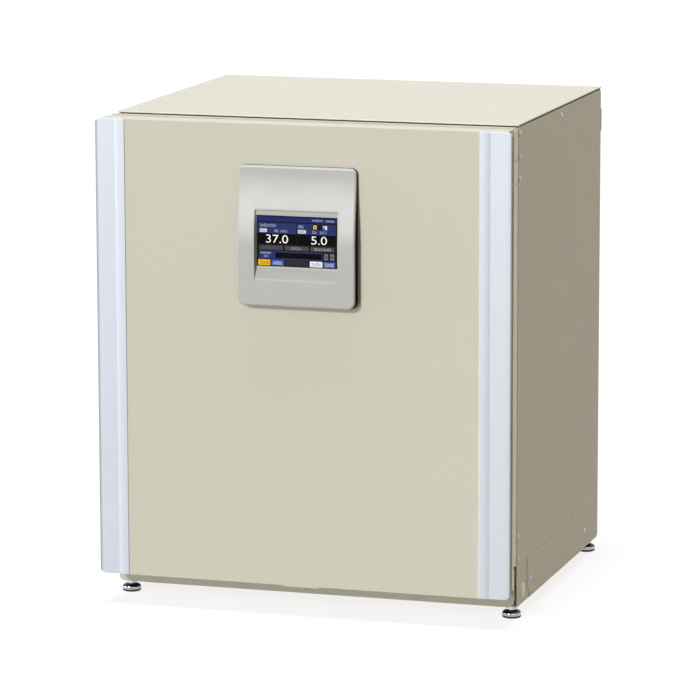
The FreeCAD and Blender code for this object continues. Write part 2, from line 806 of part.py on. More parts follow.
# ultraviolet lamp and its clips in the duct
lamp = round_edges(cyl("x", -120.0, 587.0, 176.0, 7.5, 240.0), 3.0, lambda e, q: q.XLength < 1e-3)
node(lamp, "uv_lamp")
clips = []
for x in (-108.0, 96.0):
    clips.append(
        cut(
            box(x, x + 12.0, 577.0, D.chamber_back - 0.1, 165.0, 187.0),
            cyl("x", x - 1.0, 587.0, 176.0, 7.6, 14.0),
        )
    )
node(group(*clips), "uv_lamp_holders")

# sensors
co2 = fuse(
    cyl("y", 160.0, 580.0, D.fan_z, 14.0, 22.9),
    cone("y", 160.0, 576.0, D.fan_z, 11.0, 14.0, 4.0),
)
node(co2, "co2_sensor")
probe = fuse(cyl("y", -160.0, 578.0, D.fan_z + 20.0, 3.2, 82.0), cyl("y", -160.0, 656.0, D.fan_z + 20.0, 7.0, 12.0))
node(probe, "temperature_probe")

# shelf supports: pressed ledges, two for each shelf
ledges = []
for k in range(4):
    zt = D.shelf_low + D.shelf_pitch * k - D.shelf_depth - 0.5
    for s in (-1, 1):
        inner_x, wall_x = (D.chamber_half - 22.0) * s, (D.chamber_half - 0.05) * s
        up_x = (D.chamber_half - 2.0) * s
        a = box(*( [inner_x, wall_x] if s > 0 else [wall_x, inner_x] ), 116.0, 570.0, zt - 2.0, zt)
        b = box(*( [up_x, wall_x] if s > 0 else [wall_x, up_x] ), 116.0, 570.0, zt - 14.0, zt - 1.0)
        c = box(*( [inner_x, up_x] if s > 0 else [up_x, inner_x] ), 566.0, 570.0, zt - 1.0, zt + 13.0)
        ledges.append(fuse(a, b, c))
node(group(*ledges), "shelf_supports")

# ------------------------------------------------ rear compartment
board = fuse(
    box(-210.0, -30.0, 660.0, 661.6, 380.0, 560.0),
    box(-200.0, -160.0, 661.0, 680.0, 500.0, 545.0),
    box(-140.0, -100.0, 661.0, 672.0, 400.0, 460.0),
    box(-90.0, -70.0, 661.0, 676.0, 390.0, 470.0),
    box(-80.0, -45.0, 661.0, 668.0, 500.0, 540.0),
    cyl("y", -125.0, 661.0, 520.0, 9.0, 22.0),
    cyl("y", -52.0, 661.0, 480.0, 6.0, 14.0),
)
node(board, "control_board")
psu = cut(
    box(-210.0, -60.0, 656.0, 692.0, 190.0, 290.0),
    *[box(-190.0 + 22.0 * i, -180.0 + 22.0 * i, 688.0, 694.0, 205.0, 275.0) for i in range(5)]
)
node(psu, "power_supply")
barb = fuse(
    cyl("y", D.gas_x, 690.3, D.gas_z, 6.0, 10.0),
    cyl("y", D.gas_x, D.wrap_back, D.gas_z, 9.0, 4.0),
    cyl("y", D.gas_x, 703.5, D.gas_z, D.barb_radius, 14.5),
)
node(barb, "gas_barb")
filt = fuse(
    cyl("z", D.gas_x, 672.0, D.gas_z - 22.0, 17.5, 44.0),
    cyl("z", D.gas_x, 672.0, D.gas_z + 22.0, 8.0, 8.0),
)
node(filt, "gas_filter")
valve = fuse(
    box(D.gas_x - 14.0, D.gas_x + 14.0, 660.0, 686.0, D.gas_z + 60.0, D.gas_z + 84.0),
    cyl("y", D.gas_x, 672.0, D.gas_z + 72.0, 3.0, 3.0),
    box(D.gas_x - 11.0, D.gas_x + 11.0, 661.0, 683.0, D.gas_z + 84.0, D.gas_z + 116.0),
)
node(valve, "gas_valve")
tube_a = cyl("z", D.gas_x, 672.0, D.gas_z + 30.0, 3.0, 30.0)
tz = D.fan_z - 20.0
tube_b = fuse(
    cyl("z", D.gas_x, 672.0, D.gas_z + 116.0, 3.0, tz - D.gas_z - 116.0),
    sphere(D.gas_x, 672.0, tz, 3.0),
    cyl("y", D.gas_x, 585.0, tz, 3.0, 87.0),
)
node(group(tube_a, tube_b), "gas_tubes")

# power inlet with three blades
inlet = cut(
    fuse(
        box(286.0, 314.0, 676.0, 701.0, 140.0, 160.0),
        box(272.0, 328.0, D.wrap_back, 703.0, 136.0, 164.0),
    ),
    box(289.0, 311.0, 684.0, 704.0, 143.0, 157.0),
)
blades = [box(x - 1.0, x + 1.0, 683.0, 696.0, z - 2.0, z + 2.0) for x, z in ((293.5, 149.0), (306.5, 149.0), (300.0, 152.5))]
node(fuse(inlet, *blades), "power_inlet")

# rocker switch: frame and rocker
frame_sw = cut(
    fuse(
        box(226.0, 254.0, 680.0, 701.0, 137.0, 163.0),
        box(222.0, 258.0, D.wrap_back, 703.0, 133.0, 167.0),
    ),
    box(229.5, 250.5, 686.0, 704.0, 139.5, 160.5),
    cyl("x", 227.8, 697.0, 150.0, 1.55, 24.4),
)
node(frame_sw, "power_switch_frame")
rock = new_body("power_switch_rocker")
tilt = math.radians(8.0)


def tilted(a, b):
    return (
        Y(697.0 + a * math.cos(tilt) - b * math.sin(tilt)),
        sz(150.0 + a * math.sin(tilt) + b * math.cos(tilt)),
    )


sk = draw(
    sketch_on(rock, "YZ", 240.0),
    [tilted(-2.5, -6.0), tilted(3.5, -8.5), tilted(6.5, -8.0), tilted(4.6, 0.0), tilted(6.5, 8.0), tilted(3.5, 8.5), tilted(-2.5, 6.0)],
)
pad(rock, sk, 20.0, both=True)
sk = circle(sketch_on(rock, "YZ", 240.0), Y(697.0), 150.0, 1.5)
pad(rock, sk, 24.0, both=True)

# access port sleeve and stopper
sleeve = cut(
    fuse(
        cyl("y", D.port_x, D.chamber_back - 1.0, D.port_z, 17.0, 104.0),
        cyl("y", D.port_x, D.wrap_back, D.port_z, 22.0, 3.0),
    ),
    cyl("y", D.port_x, D.chamber_back - 2.0, D.port_z, 14.5, 110.0),
)
node(sleeve, "access_port_sleeve")
stop = new_body("access_port_stopper")
sk = draw(
    sketch_on(stop, "YZ", D.port_x),
    [
        (Y(676.0), D.port_z),
        (Y(676.0), D.port_z + 13.2),
        (Y(706.3), D.port_z + 14.1),
        (Y(706.3), D.port_z + 20.0),
        (Y(716.5), D.port_z + 19.0),
        (Y(718.0), D.port_z + 17.0),
        (Y(718.0), D.port_z),
    ],
)
rev = stop.newObject("PartDesign::Revolution", "stopper_turn")
rev.Profile = sk
rev.Angle = 360
rev.ReferenceAxis = (sk, ["Edge7"])
doc.recompute()

# rear spacers that keep the cabinet off a wall
sp = round_edges(box(338.0, 371.5, D.wrap_back, 722.0, 804.0, 847.0), 6.0, lambda e, q: fixed(q, y=NUM["front_y"] + 722.0))
node(group(sp, mirror_x(sp)), "wall_spacers")

# ---------------------------------------------------------------- feet
for s, where in FEET:
    name = "foot_%s_%s" % (where, "left" if s < 0 else "right")
    x = D.foot_x * s
    yp = D.foot_front if where == "front" else D.foot_rear
    f = new_body(name)
    sk = draw(
        sketch_on(f, "XZ", -Y(yp)),
        [
            (x, 0.0),
            (x + D.foot_radius - 2.5, 0.0),
            (x + D.foot_radius - 0.6, 1.6),
            (x + D.foot_radius - 0.6, 3.4),
            (x + D.foot_radius, 4.2),
            (x + D.foot_radius, 8.0),
            (x + D.foot_radius - 1.2, 11.2),
            (x + D.foot_radius - 4.5, 13.6),
            (x + 9.5, 14.6),
            (x, 14.8),
        ],
    )
    rev = f.newObject("PartDesign::Revolution", "pad_turn_" + name)
    rev.Profile = sk
    rev.ReferenceAxis = (sk, ["Edge10"])
    rev.Angle = 360
    hexpts = [(x + 9.5 * math.cos(math.radians(60.0 * i)), Y(yp) + 9.5 * math.sin(math.radians(60.0 * i))) for i in range(6)]
    sk = draw(sketch_on(f, "XY", 14.0), hexpts)
    pad(f, sk, D.cab_bottom - 14.4)
    sk = circle(sketch_on(f, "XY", 14.0), x, Y(yp), D.stud_radius)
    pad(f, sk, 38.0)
    doc.recompute()

# ---------------------------------------------------------------- outer door
def door_outline(g):
    """Right half outline of the door body, pulled in by g."""
    g = sz(g)
    return [
        (D.trim_in - g, Y(0.0 + g)),
        (D.trim_in - g, Y(D.grip_front + 0.0)),
        (D.grip_in - g, Y(D.grip_front + 0.0 + g)),
        (D.grip_in - g, Y(D.grip_back + g)),
        (D.door_body_half - g, Y(D.grip_back + g)),
        (D.door_body_half - g, Y(D.door_thk - D.skin_thk)),
    ]


def full_outline(g):
    right = door_outline(g)
    gg = sz(g)
    right[1] = (D.trim_in - gg, Y(D.grip_front + gg))
    left = [(-a, b) for a, b in reversed(right)]
    return right + left


skin = new_body("door_skin")
sk = draw(sketch_on(skin, "XY", D.door_z_low), full_outline(0.0))
pad(skin, sk, D.door_z_high - D.door_z_low)
sk = draw(sketch_on(skin, "XY", D.door_z_low + D.skin_thk), full_outline(D.skin_thk)[:6] + full_outline(D.skin_thk)[6:])
hollow = skin.newObject("PartDesign::Pocket", "skin_inside")
hollow.Profile = sk
bind(hollow, "Length", D.door_z_high - D.door_z_low - 2.0 * D.skin_thk)
hollow.Reversed = True
doc.recompute()

# end plates close the grip channels at the top and the bottom
for z in (D.door_z_high - D.skin_thk, D.door_z_low):
    for a, b in ((D.grip_in - 0.5, D.door_body_half), (-D.door_body_half, -D.grip_in + 0.5)):
        sk = draw(sketch_on(skin, "XY", z), rect(a, b, Y(D.grip_front), Y(D.grip_back + 0.5)))
        pad(skin, sk, D.skin_thk)
# small lip under the middle of the door
sk = draw(sketch_on(skin, "XZ", -Y(0.0)), rect(-35.5, 31.7, D.door_z_low - 2.4, D.door_z_low + 1.0))
pad(skin, sk, D.skin_thk, back=True)

foam = new_body("door_foam")
sk = draw(sketch_on(foam, "XY", D.door_z_low + D.skin_thk + 0.05), full_outline(D.skin_thk + 0.05))
pad(foam, sk, D.door_z_high - D.door_z_low - 2.0 * D.skin_thk - 0.1)
doc.recompute()

panel = new_body("door_inner_panel")
sk = draw(
    sketch_on(panel, "XZ", -Y(D.door_thk - D.skin_thk)),
    rect(-D.door_body_half, D.door_body_half, D.door_z_low, D.door_z_high),
)
pad(panel, sk, D.skin_thk, back=True)
sk = draw(sketch_on(panel, "XZ", -Y(D.door_thk - 0.01)), rect(-318.0, 318.0, 112.0, 808.0))
pad(panel, sk, 3.0, back=True)
yr = NUM["front_y"] + NUM["door_thk"] - 0.01 + 3.0
pd_fillet(panel, 2.4, lambda e, q: fixed(q, y=yr))

# side trims: extruded profiles with a raised inner rib and a rolled outer edge
def trim(name, s):
    b = new_body(name)
    prof = [
        (D.trim_in, Y(-0.6)),
        (D.trim_in + 1.2, Y(-1.8)),
        (D.trim_step - 2.2, Y(-1.8)),
        (D.trim_step - 0.7, Y(-1.2)),
        (D.trim_step + 1.6, Y(1.0)),
        (D.trim_step + 3.4, Y(1.4)),
        (D.door_half - 5.0, Y(1.4)),
        (D.door_half - 1.6, Y(2.8)),
        (D.door_half - 0.2, Y(5.8)),
        (D.door_half, Y(9.0)),
        (D.door_half - 1.0, Y(11.2)),
        (D.door_half - 3.0, Y(D.grip_front - 0.05)),
        (D.trim_in, Y(D.grip_front - 0.05)),
    ]
    prof = [(a * s, c) for a, c in prof]
    sk = draw(sketch_on(b, "XY", D.door_z_low), prof)
    pad(b, sk, D.door_z_high - D.door_z_low)
    doc.recompute()
    # rounded outer corners: cut by a corner block with a quarter circle
    return b


def trim_solid(name, s):
    b = trim(name, s)
    # corner rounding by chamfer-like pockets following a 9 mm radius
    rr = 9.0
    for zc, up in ((D.door_z_high, 1), (D.door_z_low, -1)):
        pts = [(D.door_half * s + 1.0 * s, zc + 1.0 * up)]
        pts.append((D.door_half * s - rr * s, zc + 1.0 * up))
        for i in range(9):
            a = math.radians(90.0 * i / 8.0)
            pts.append((D.door_half * s - rr * s + rr * math.sin(a) * s, zc - rr * up + rr * math.cos(a) * up))
        pts.append((D.door_half * s + 1.0 * s, zc - rr * up))
        sk = draw(sketch_on(b, "XZ", -Y(6.0)), pts)
        cut_through(b, sk, "corner_%03d" % (count[0] + 1))
    return b


trim_solid("door_trim_right", 1)
trim_solid("door_trim_left", -1)

# door gasket
gk = cut(
    box(-366.0, 366.0, D.door_thk, D.frame_front - 0.2, 66.0, 854.0),
    box(-344.0, 344.0, D.door_thk - 1.0, D.frame_front, 88.0, 832.0),
)
node(round_edges(gk, 4.0, lambda e, q: fixed(q, y=NUM["front_y"] + 59.8)), "door_gasket")

# hinge leaves, brackets and pins of the outer door
HINGE_Z = (150.0, 800.0)
leaves, brackets, pins = [], [], []
for z in HINGE_Z:
    leaf = cut(
        fuse(
            box(D.hinge_x, D.hinge_x + 2.0, 31.0, D.hinge_yp, z - 14.0, z + 14.0),
            cyl("z", D.hinge_x, D.hinge_yp, z - 14.0, D.knuckle, 28.0),
        ),
        cyl("z", D.hinge_x, D.hinge_yp, z - 20.0, D.hinge_pin + D.hinge_fit, 40.0),
        box(D.hinge_x + 2.0, D.hinge_x + 9.0, 40.0, 46.05, z - 15.0, z + 15.0),
    )
    leaves.append(leaf)
    tabs = []
    for a in (z - 30.0, z + 14.4):
        tabs.append(cyl("z", D.hinge_x, D.hinge_yp, a, D.knuckle, 15.6))
        tabs.append(box(D.hinge_x + 3.0, -D.cab_half, D.hinge_yp, 61.0, a, a + 15.6))
    plate = box(D.hinge_x + 3.0, -D.cab_half, 60.0, 91.0, z - 30.0, z + 30.0)
    brackets.append(cut(fuse(plate, *tabs), cyl("z", D.hinge_x, D.hinge_yp, z - 34.0, D.hinge_pin, 68.0)))
    pins.append(cyl("z", D.hinge_x, D.hinge_yp, z - 31.0, D.hinge_pin, 62.0))
node(group(*leaves), "door_hinge_leaves")
node(group(*brackets), "hinge_brackets")
node(group(*pins), "hinge_pins")

# control console: a moulded cover with an S-shaped front
con = new_body("console_housing")
prof = [(Y(-0.05), D.console_low), (Y(-0.05), D.console_high), (Y(-7.6), D.console_high)]
prof += [(Y(-8.6), D.console_high - 1.0), (Y(-8.8), D.console_high - 6.0)]
S0, S1, P0, P1 = 802.0, 672.0, 9.0, 20.0
for i in range(9):
    u = i / 8.0
    w = u * u * (3 - 2 * u)
    prof.append((Y(-(P0 + (P1 - P0) * w)), sz(S0 + (S1 - S0) * u)))
prof += [(Y(-D.console_out), D.console_low + 4.0), (Y(-D.console_out + 1.2), D.console_low + 1.2), (Y(-D.console_out + 4.0), D.console_low)]
sk = draw(sketch_on(con, "YZ", 0.0), prof)
pad(con, sk, D.console_half * 2.0, both=True)
pd_fillet(
    con, 15.0,
    lambda e, q: q.YLength > 5.0 and q.XLength < 1e-3 and q.ZLength < 1e-3 and q.ZMin < 600,
)
pd_fillet(
    con, 10.0,
    lambda e, q: q.YLength > 2.0 and q.XLength < 1e-3 and q.ZLength < 1e-3 and q.ZMin > 810 and abs(q.XMin) > 100,
)
# inside of the cover, open to the door
sk = draw(sketch_on(con, "XZ", -Y(-0.05)), rect(-D.window_half - 6.0, D.window_half + 6.0, D.window_low - 8.0, D.window_high + 6.0))
pk = con.newObject("PartDesign::Pocket", "console_inside")
pk.Profile = sk
bind(pk, "Length", 9.0)
doc.recompute()
v0 = pk.BaseFeature.Shape.Volume
if pk.Shape.Volume > v0 - 100.0 or (v0 - pk.Shape.Volume) < 50000.0:
    pk.Reversed = True
    doc.recompute()
# the window
sk = draw(sketch_on(con, "XZ", -Y(-0.05)), rect(-D.window_half, D.window_half, D.window_low, D.window_high))
cut_through(con, sk, "console_window")

bind(con, "Placement.Base.x", D.console_x)

# recessed bezel around the screen, with a ramp below
bez = new_body("console_bezel")
g = 0.15
sk = draw(
    sketch_on(bez, "YZ", 0.0),
    [
        (Y(-9.2), D.window_low + g),
        (Y(-D.console_out + 0.4), D.window_low + g),
        (Y(-D.console_out + 0.8), D.window_low + 3.0),
        (Y(-12.0), D.screen_low - 3.0),
        (Y(-12.0), D.window_high - g),
        (Y(-9.2), D.window_high - g),
    ],
)
pad(bez, sk, (D.window_half - g) * 2.0, both=True)
sk = draw(sketch_on(bez, "XZ", -Y(-9.2)), rect(-D.screen_half, D.screen_half, D.screen_low, D.screen_high))
cut_through(bez, sk, "screen_window")
bind(bez, "Placement.Base.x", D.console_x)

node(
    box(D.console_x - D.screen_half + 0.1, D.console_x + D.screen_half - 0.1, -11.6, -9.3, D.screen_low + 0.1, D.screen_high - 0.1),
    "touch_screen",
)
disp = fuse(
    box(D.console_x - 72.0, D.console_x + 72.0, -7.6, -6.0, D.window_low, D.window_high),
    box(D.console_x - 30.0, D.console_x + 10.0, -6.1, -2.0, 640.0, 690.0),
    box(D.console_x + 25.0, D.console_x + 60.0, -6.1, -3.0, 650.0, 680.0),
    box(D.console_x - 72.0, D.console_x + 72.0, -9.2, -7.5, D.screen_low + 1.0, D.screen_high - 1.0),
)
node(disp, "display_board")

# ---------------------------------------------------------------- inner door
IH = (230.0, 690.0)
gl = box(-D.glass_half, D.glass_half, D.glass_front, D.glass_front + D.glass_thk, 100.0, 820.0)
gl = round_edges(gl, 6.0, along("y"))
gl = cut(gl, cyl("y", 312.0, 60.0, 460.0, 4.05, 20.0))
node(gl, "inner_door_glass")
ileaf, ibr = [], []
for z in IH:
    ileaf.append(
        cut(
            fuse(
                cyl("z", D.inner_x, D.inner_yp, z - 9.7, D.inner_knuckle, 19.4),
                box(D.inner_x, D.inner_x + 3.0, D.inner_yp, D.glass_front, z - 9.7, z + 9.7),
                box(D.inner_x, -294.0, D.glass_front - 1.6, D.glass_front, z - 9.7, z + 9.7),
            ),
            cyl("z", D.inner_x, D.inner_yp, z - 12.0, D.inner_pin + D.hinge_fit, 24.0),
        )
    )
    parts_ = [
        box(-D.frame_in, D.inner_x - 3.0, 66.6, 79.0, z - 26.0, z + 26.0),
        cyl("z", D.inner_x, D.inner_yp, z - 26.0, D.inner_pin, 52.0),
    ]
    for a in (z - 25.5, z + 10.0):
        parts_.append(cyl("z", D.inner_x, D.inner_yp, a, D.inner_knuckle, 15.5))
        parts_.append(box(-D.frame_in, D.inner_x, 61.0, 64.0, a, a + 15.5))
        parts_.append(box(-D.frame_in, D.inner_x - 3.0, 61.0, 67.0, a, a + 15.5))
    ibr.append(fuse(*parts_))
node(group(*ileaf), "inner_door_hinges")
node(group(*ibr), "inner_hinge_brackets")

# turn latch of the inner door
latch = fuse(
    cyl("y", 312.0, 53.6, 460.0, 9.0, 13.0),
    cyl("y", 312.0, 66.0, 460.0, 4.0, 5.6),
    box(312.0, 341.5, 54.0, 58.6, 453.0, 467.0),
    box(272.0, 312.0, 54.0, 61.0, 455.0, 465.0),
)
node(latch, "inner_door_latch")

# ---------------------------------------------------------------- shelves
for k in range(4):
    zt = D.shelf_low + D.shelf_pitch * k
    b = new_body("shelf_%d" % (k + 1))
    sk = draw(sketch_on(b, "XY", zt - D.shelf_depth), rect(-D.shelf_half + 1.0, D.shelf_half - 1.0, Y(D.shelf_front), Y(D.shelf_back)))
    pad(b, sk, D.shelf_depth)
    ztn = zt.v
    pd_fillet(b, 2.0, lambda e, q: near(q.ZMin, ztn) and near(q.ZMax, ztn))
    sk = draw(
        sketch_on(b, "XY", zt - D.shelf_depth),
        rect(-D.shelf_half + 2.0, D.shelf_half - 2.0, Y(D.shelf_front + 1.0), Y(D.shelf_back - 1.0)),
    )
    pk = b.newObject("PartDesign::Pocket", "under_%d" % (k + 1))
    pk.Profile = sk
    pk.Reversed = True
    bind(pk, "Length", D.shelf_depth - 1.0)
    doc.recompute()
    assert pk.Shape.Volume < 0.35 * pk.BaseFeature.Shape.Volume, "shelf is not hollow below"
    sk = sketch_on(b, "XY", zt)
    for i in range(6):
        x0 = -276.0 + 94.0 * i
        draw(sk, rect(x0, x0 + 80.0, Y(D.shelf_front + 24.0), Y(D.shelf_front + 36.0)))
    slots = cut_through(b, sk, "slots_%d" % (k + 1))
    pattern(b, [slots], sk, "V_Axis", 370.0, 13)
    doc.recompute()

# humidity pan
pan = new_body("humidity_pan")
sk = draw(sketch_on(pan, "XY", D.chamber_low + 0.5), rect(-D.pan_half, D.pan_half, Y(D.pan_front), Y(D.pan_back)))
pad(pan, sk, D.pan_height)
pd_fillet(pan, 14.0, lambda e, q: q.ZLength > 5.0)
z0 = NUM["chamber_low"] + 0.5
pd_fillet(pan, 6.0, lambda e, q: near(q.ZMin, z0) and near(q.ZMax, z0))
doc.recompute()
shell_open(pan, 1.0, lambda f: near(f.BoundBox.ZMin, NUM["chamber_low"] + 0.5 + NUM["pan_height"]))

# ---------------------------------------------------------------- checks and export
bad = []
for o in doc.Objects:
    state = [str(q) for q in o.State]
    if "Invalid" in state or "Error" in state:
        bad.append("%s (%s) %s" % (o.Name, o.Label, state))
names = set()
for o in NODES:
    sh = o.Shape
    if sh.isNull() or not sh.isValid() or not sh.Solids:
        bad.append("%s has no valid solid" % o.Label)
    if o.Label in names:
        bad.append("%s is used twice" % o.Label)
    names.add(o.Label)
if bad:
    raise SystemExit("failed objects: " + "; ".join(bad))

os.makedirs("parts", exist_ok=True)
total = FreeCAD.BoundBox()
for o in NODES:
    o.Shape.exportStep("parts/%s.step" % o.Label)
    total.add(o.Shape.BoundBox)
    print("%-24s solids %2d  vol %12.1f  box %s" % (o.Label, len(o.Shape.Solids), o.Shape.Volume, [round(v, 1) for v in (o.Shape.BoundBox.XMin, o.Shape.BoundBox.XMax, o.Shape.BoundBox.YMin, o.Shape.BoundBox.YMax, o.Shape.BoundBox.ZMin, o.Shape.BoundBox.ZMax)]))
print("nodes", len(NODES), "box", [round(v, 2) for v in (total.XMin, total.XMax, total.YMin, total.YMax, total.ZMin, total.ZMax)])
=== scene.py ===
import json
import math

import bmesh
import bpy
from mathutils import Matrix, Vector


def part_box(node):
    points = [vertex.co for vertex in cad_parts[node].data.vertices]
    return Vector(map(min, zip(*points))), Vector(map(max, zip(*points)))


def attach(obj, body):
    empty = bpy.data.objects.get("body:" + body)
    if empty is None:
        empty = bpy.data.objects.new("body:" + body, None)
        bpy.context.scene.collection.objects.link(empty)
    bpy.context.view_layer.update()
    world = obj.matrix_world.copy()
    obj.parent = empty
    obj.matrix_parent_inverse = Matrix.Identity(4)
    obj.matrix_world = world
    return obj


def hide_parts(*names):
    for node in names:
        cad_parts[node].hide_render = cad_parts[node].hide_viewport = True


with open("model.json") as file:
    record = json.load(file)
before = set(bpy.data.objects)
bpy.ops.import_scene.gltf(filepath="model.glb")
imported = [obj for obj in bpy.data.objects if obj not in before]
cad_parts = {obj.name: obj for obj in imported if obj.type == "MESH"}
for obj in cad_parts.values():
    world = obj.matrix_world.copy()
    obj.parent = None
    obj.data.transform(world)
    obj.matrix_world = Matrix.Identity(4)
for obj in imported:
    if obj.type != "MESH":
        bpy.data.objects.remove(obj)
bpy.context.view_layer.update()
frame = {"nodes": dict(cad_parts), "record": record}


NODES = frame["nodes"]
BODY = {}
for body_name, members in frame["record"]["behaviour"]["bodies"].items():
    for member in members:
        BODY[member] = body_name
scene = bpy.context.scene
MM = 0.001


# ------------------------------------------------------------------ colour
def lin(r, g, b):
    out = []
    for c in (r, g, b):
        c = c / 255.0
        out.append(c / 12.92 if c <= 0.04045 else ((c + 0.055) / 1.055) ** 2.4)
    return out


def scaled(c, k):
    return (min(c[0] * k, 1.0), min(c[1] * k, 1.0), min(c[2] * k, 1.0), 1.0)


# ------------------------------------------------------------------ materials
def material(
    name,
    colour,
    rough=0.45,
    metal=0.0,
    mottle=0.02,
    mottle_scale=6.0,
    grain=900.0,
    grain_depth=0.03,
    grain_strength=0.25,
    stretch=(1.0, 1.0, 1.0),
    rough_var=0.06,
    rough_scale=40.0,
    coat=0.0,
    coat_rough=0.12,
    cells=0.0,
    cell_scale=300.0,
    transmission=0.0,
    ior=1.45,
    emission=0.0,
    sheen=0.0,
    streaks=0.0,
    specks=0.0,
    alpha=1.0,
    spec=None,
):
    """A finish made of colour mottling, a fine surface grain, uneven gloss and optional brushed streaks, cells or specks."""
    m = bpy.data.materials.new(name)
    m.use_nodes = True
    nt = m.node_tree
    nt.nodes.clear()
    out = nt.nodes.new("ShaderNodeOutputMaterial")
    p = nt.nodes.new("ShaderNodeBsdfPrincipled")
    nt.links.new(p.outputs["BSDF"], out.inputs["Surface"])
    tc = nt.nodes.new("ShaderNodeTexCoord")
    mp = nt.nodes.new("ShaderNodeMapping")
    mp.inputs["Scale"].default_value = stretch
    nt.links.new(tc.outputs["Object"], mp.inputs["Vector"])

    big = nt.nodes.new("ShaderNodeTexNoise")
    big.inputs["Scale"].default_value = mottle_scale
    big.inputs["Detail"].default_value = 4.0
    nt.links.new(tc.outputs["Object"], big.inputs["Vector"])
    ramp = nt.nodes.new("ShaderNodeValToRGB")
    ramp.color_ramp.elements[0].position = 0.3
    ramp.color_ramp.elements[1].position = 0.7
    ramp.color_ramp.elements[0].color = scaled(colour, 1.0 - mottle)
    ramp.color_ramp.elements[1].color = scaled(colour, 1.0 + mottle)
    nt.links.new(big.outputs["Fac"], ramp.inputs["Fac"])
    colour_out = ramp.outputs["Color"]

    fine = nt.nodes.new("ShaderNodeTexNoise")
    fine.inputs["Scale"].default_value = grain
    fine.inputs["Detail"].default_value = 3.0
    nt.links.new(mp.outputs["Vector"], fine.inputs["Vector"])
    height = fine.outputs["Fac"]

    if streaks > 0.0:
        mix = nt.nodes.new("ShaderNodeMix")
        mix.data_type = "RGBA"
        mix.blend_type = "MULTIPLY"
        sr = nt.nodes.new("ShaderNodeValToRGB")
        sr.color_ramp.elements[0].position = 0.35
        sr.color_ramp.elements[1].position = 0.65
        sr.color_ramp.elements[0].color = (1.0 - streaks, 1.0 - streaks, 1.0 - streaks, 1.0)
        sr.color_ramp.elements[1].color = (1.0, 1.0, 1.0, 1.0)
        nt.links.new(fine.outputs["Fac"], sr.inputs["Fac"])
        mix.inputs["Factor"].default_value = 1.0
        nt.links.new(colour_out, mix.inputs["A"])
        nt.links.new(sr.outputs["Color"], mix.inputs["B"])
        colour_out = mix.outputs["Result"]

    if specks > 0.0:
        sp = nt.nodes.new("ShaderNodeTexNoise")
        sp.inputs["Scale"].default_value = 700.0
        sp.inputs["Detail"].default_value = 2.0
        nt.links.new(tc.outputs["Object"], sp.inputs["Vector"])
        sr = nt.nodes.new("ShaderNodeValToRGB")
        sr.color_ramp.elements[0].position = 0.42
        sr.color_ramp.elements[1].position = 0.62
        sr.color_ramp.elements[0].color = (1.0 - specks,) * 3 + (1.0,)
        sr.color_ramp.elements[1].color = (1.0, 1.0, 1.0, 1.0)
        nt.links.new(sp.outputs["Fac"], sr.inputs["Fac"])
        mix = nt.nodes.new("ShaderNodeMix")
        mix.data_type = "RGBA"
        mix.blend_type = "MULTIPLY"
        mix.inputs["Factor"].default_value = 1.0
        nt.links.new(colour_out, mix.inputs["A"])
        nt.links.new(sr.outputs["Color"], mix.inputs["B"])
        colour_out = mix.outputs["Result"]

    if cells > 0.0:
        vor = nt.nodes.new("ShaderNodeTexVoronoi")
        vor.inputs["Scale"].default_value = cell_scale
        nt.links.new(mp.outputs["Vector"], vor.inputs["Vector"])
        add = nt.nodes.new("ShaderNodeMath")
        add.operation = "MULTIPLY_ADD"
        add.inputs[1].default_value = cells
        nt.links.new(vor.outputs["Distance"], add.inputs[0])
        nt.links.new(height, add.inputs[2])
        height = add.outputs[0]

    bump = nt.nodes.new("ShaderNodeBump")
    bump.inputs["Strength"].default_value = grain_strength
    bump.inputs["Distance"].default_value = grain_depth * MM
    nt.links.new(height, bump.inputs["Height"])
    nt.links.new(bump.outputs["Normal"], p.inputs["Normal"])

    rn = nt.nodes.new("ShaderNodeTexNoise")
    rn.inputs["Scale"].default_value = rough_scale
    rn.inputs["Detail"].default_value = 5.0
    nt.links.new(tc.outputs["Object"], rn.inputs["Vector"])
    rr = nt.nodes.new("ShaderNodeMapRange")
    rr.inputs["From Min"].default_value = 0.3
    rr.inputs["From Max"].default_value = 0.7
    rr.inputs["To Min"].default_value = max(rough - rough_var, 0.02)
    rr.inputs["To Max"].default_value = min(rough + rough_var, 1.0)
    nt.links.new(rn.outputs["Fac"], rr.inputs["Value"])
    nt.links.new(rr.outputs["Result"], p.inputs["Roughness"])

    nt.links.new(colour_out, p.inputs["Base Color"])
    p.inputs["Metallic"].default_value = metal
    p.inputs["IOR"].default_value = ior
    if spec is not None:
        p.inputs["Specular IOR Level"].default_value = spec
    if coat > 0.0:
        p.inputs["Coat Weight"].default_value = coat
        p.inputs["Coat Roughness"].default_value = coat_rough
    if transmission > 0.0:
        p.inputs["Transmission Weight"].default_value = transmission
    if sheen > 0.0:
        p.inputs["Sheen Weight"].default_value = sheen
    if alpha < 1.0:
        p.inputs["Alpha"].default_value = alpha
    if emission > 0.0:
        nt.links.new(colour_out, p.inputs["Emission Color"])
        p.inputs["Emission Strength"].default_value = emission
    m.diffuse_color = (*colour, 1.0)
    return m


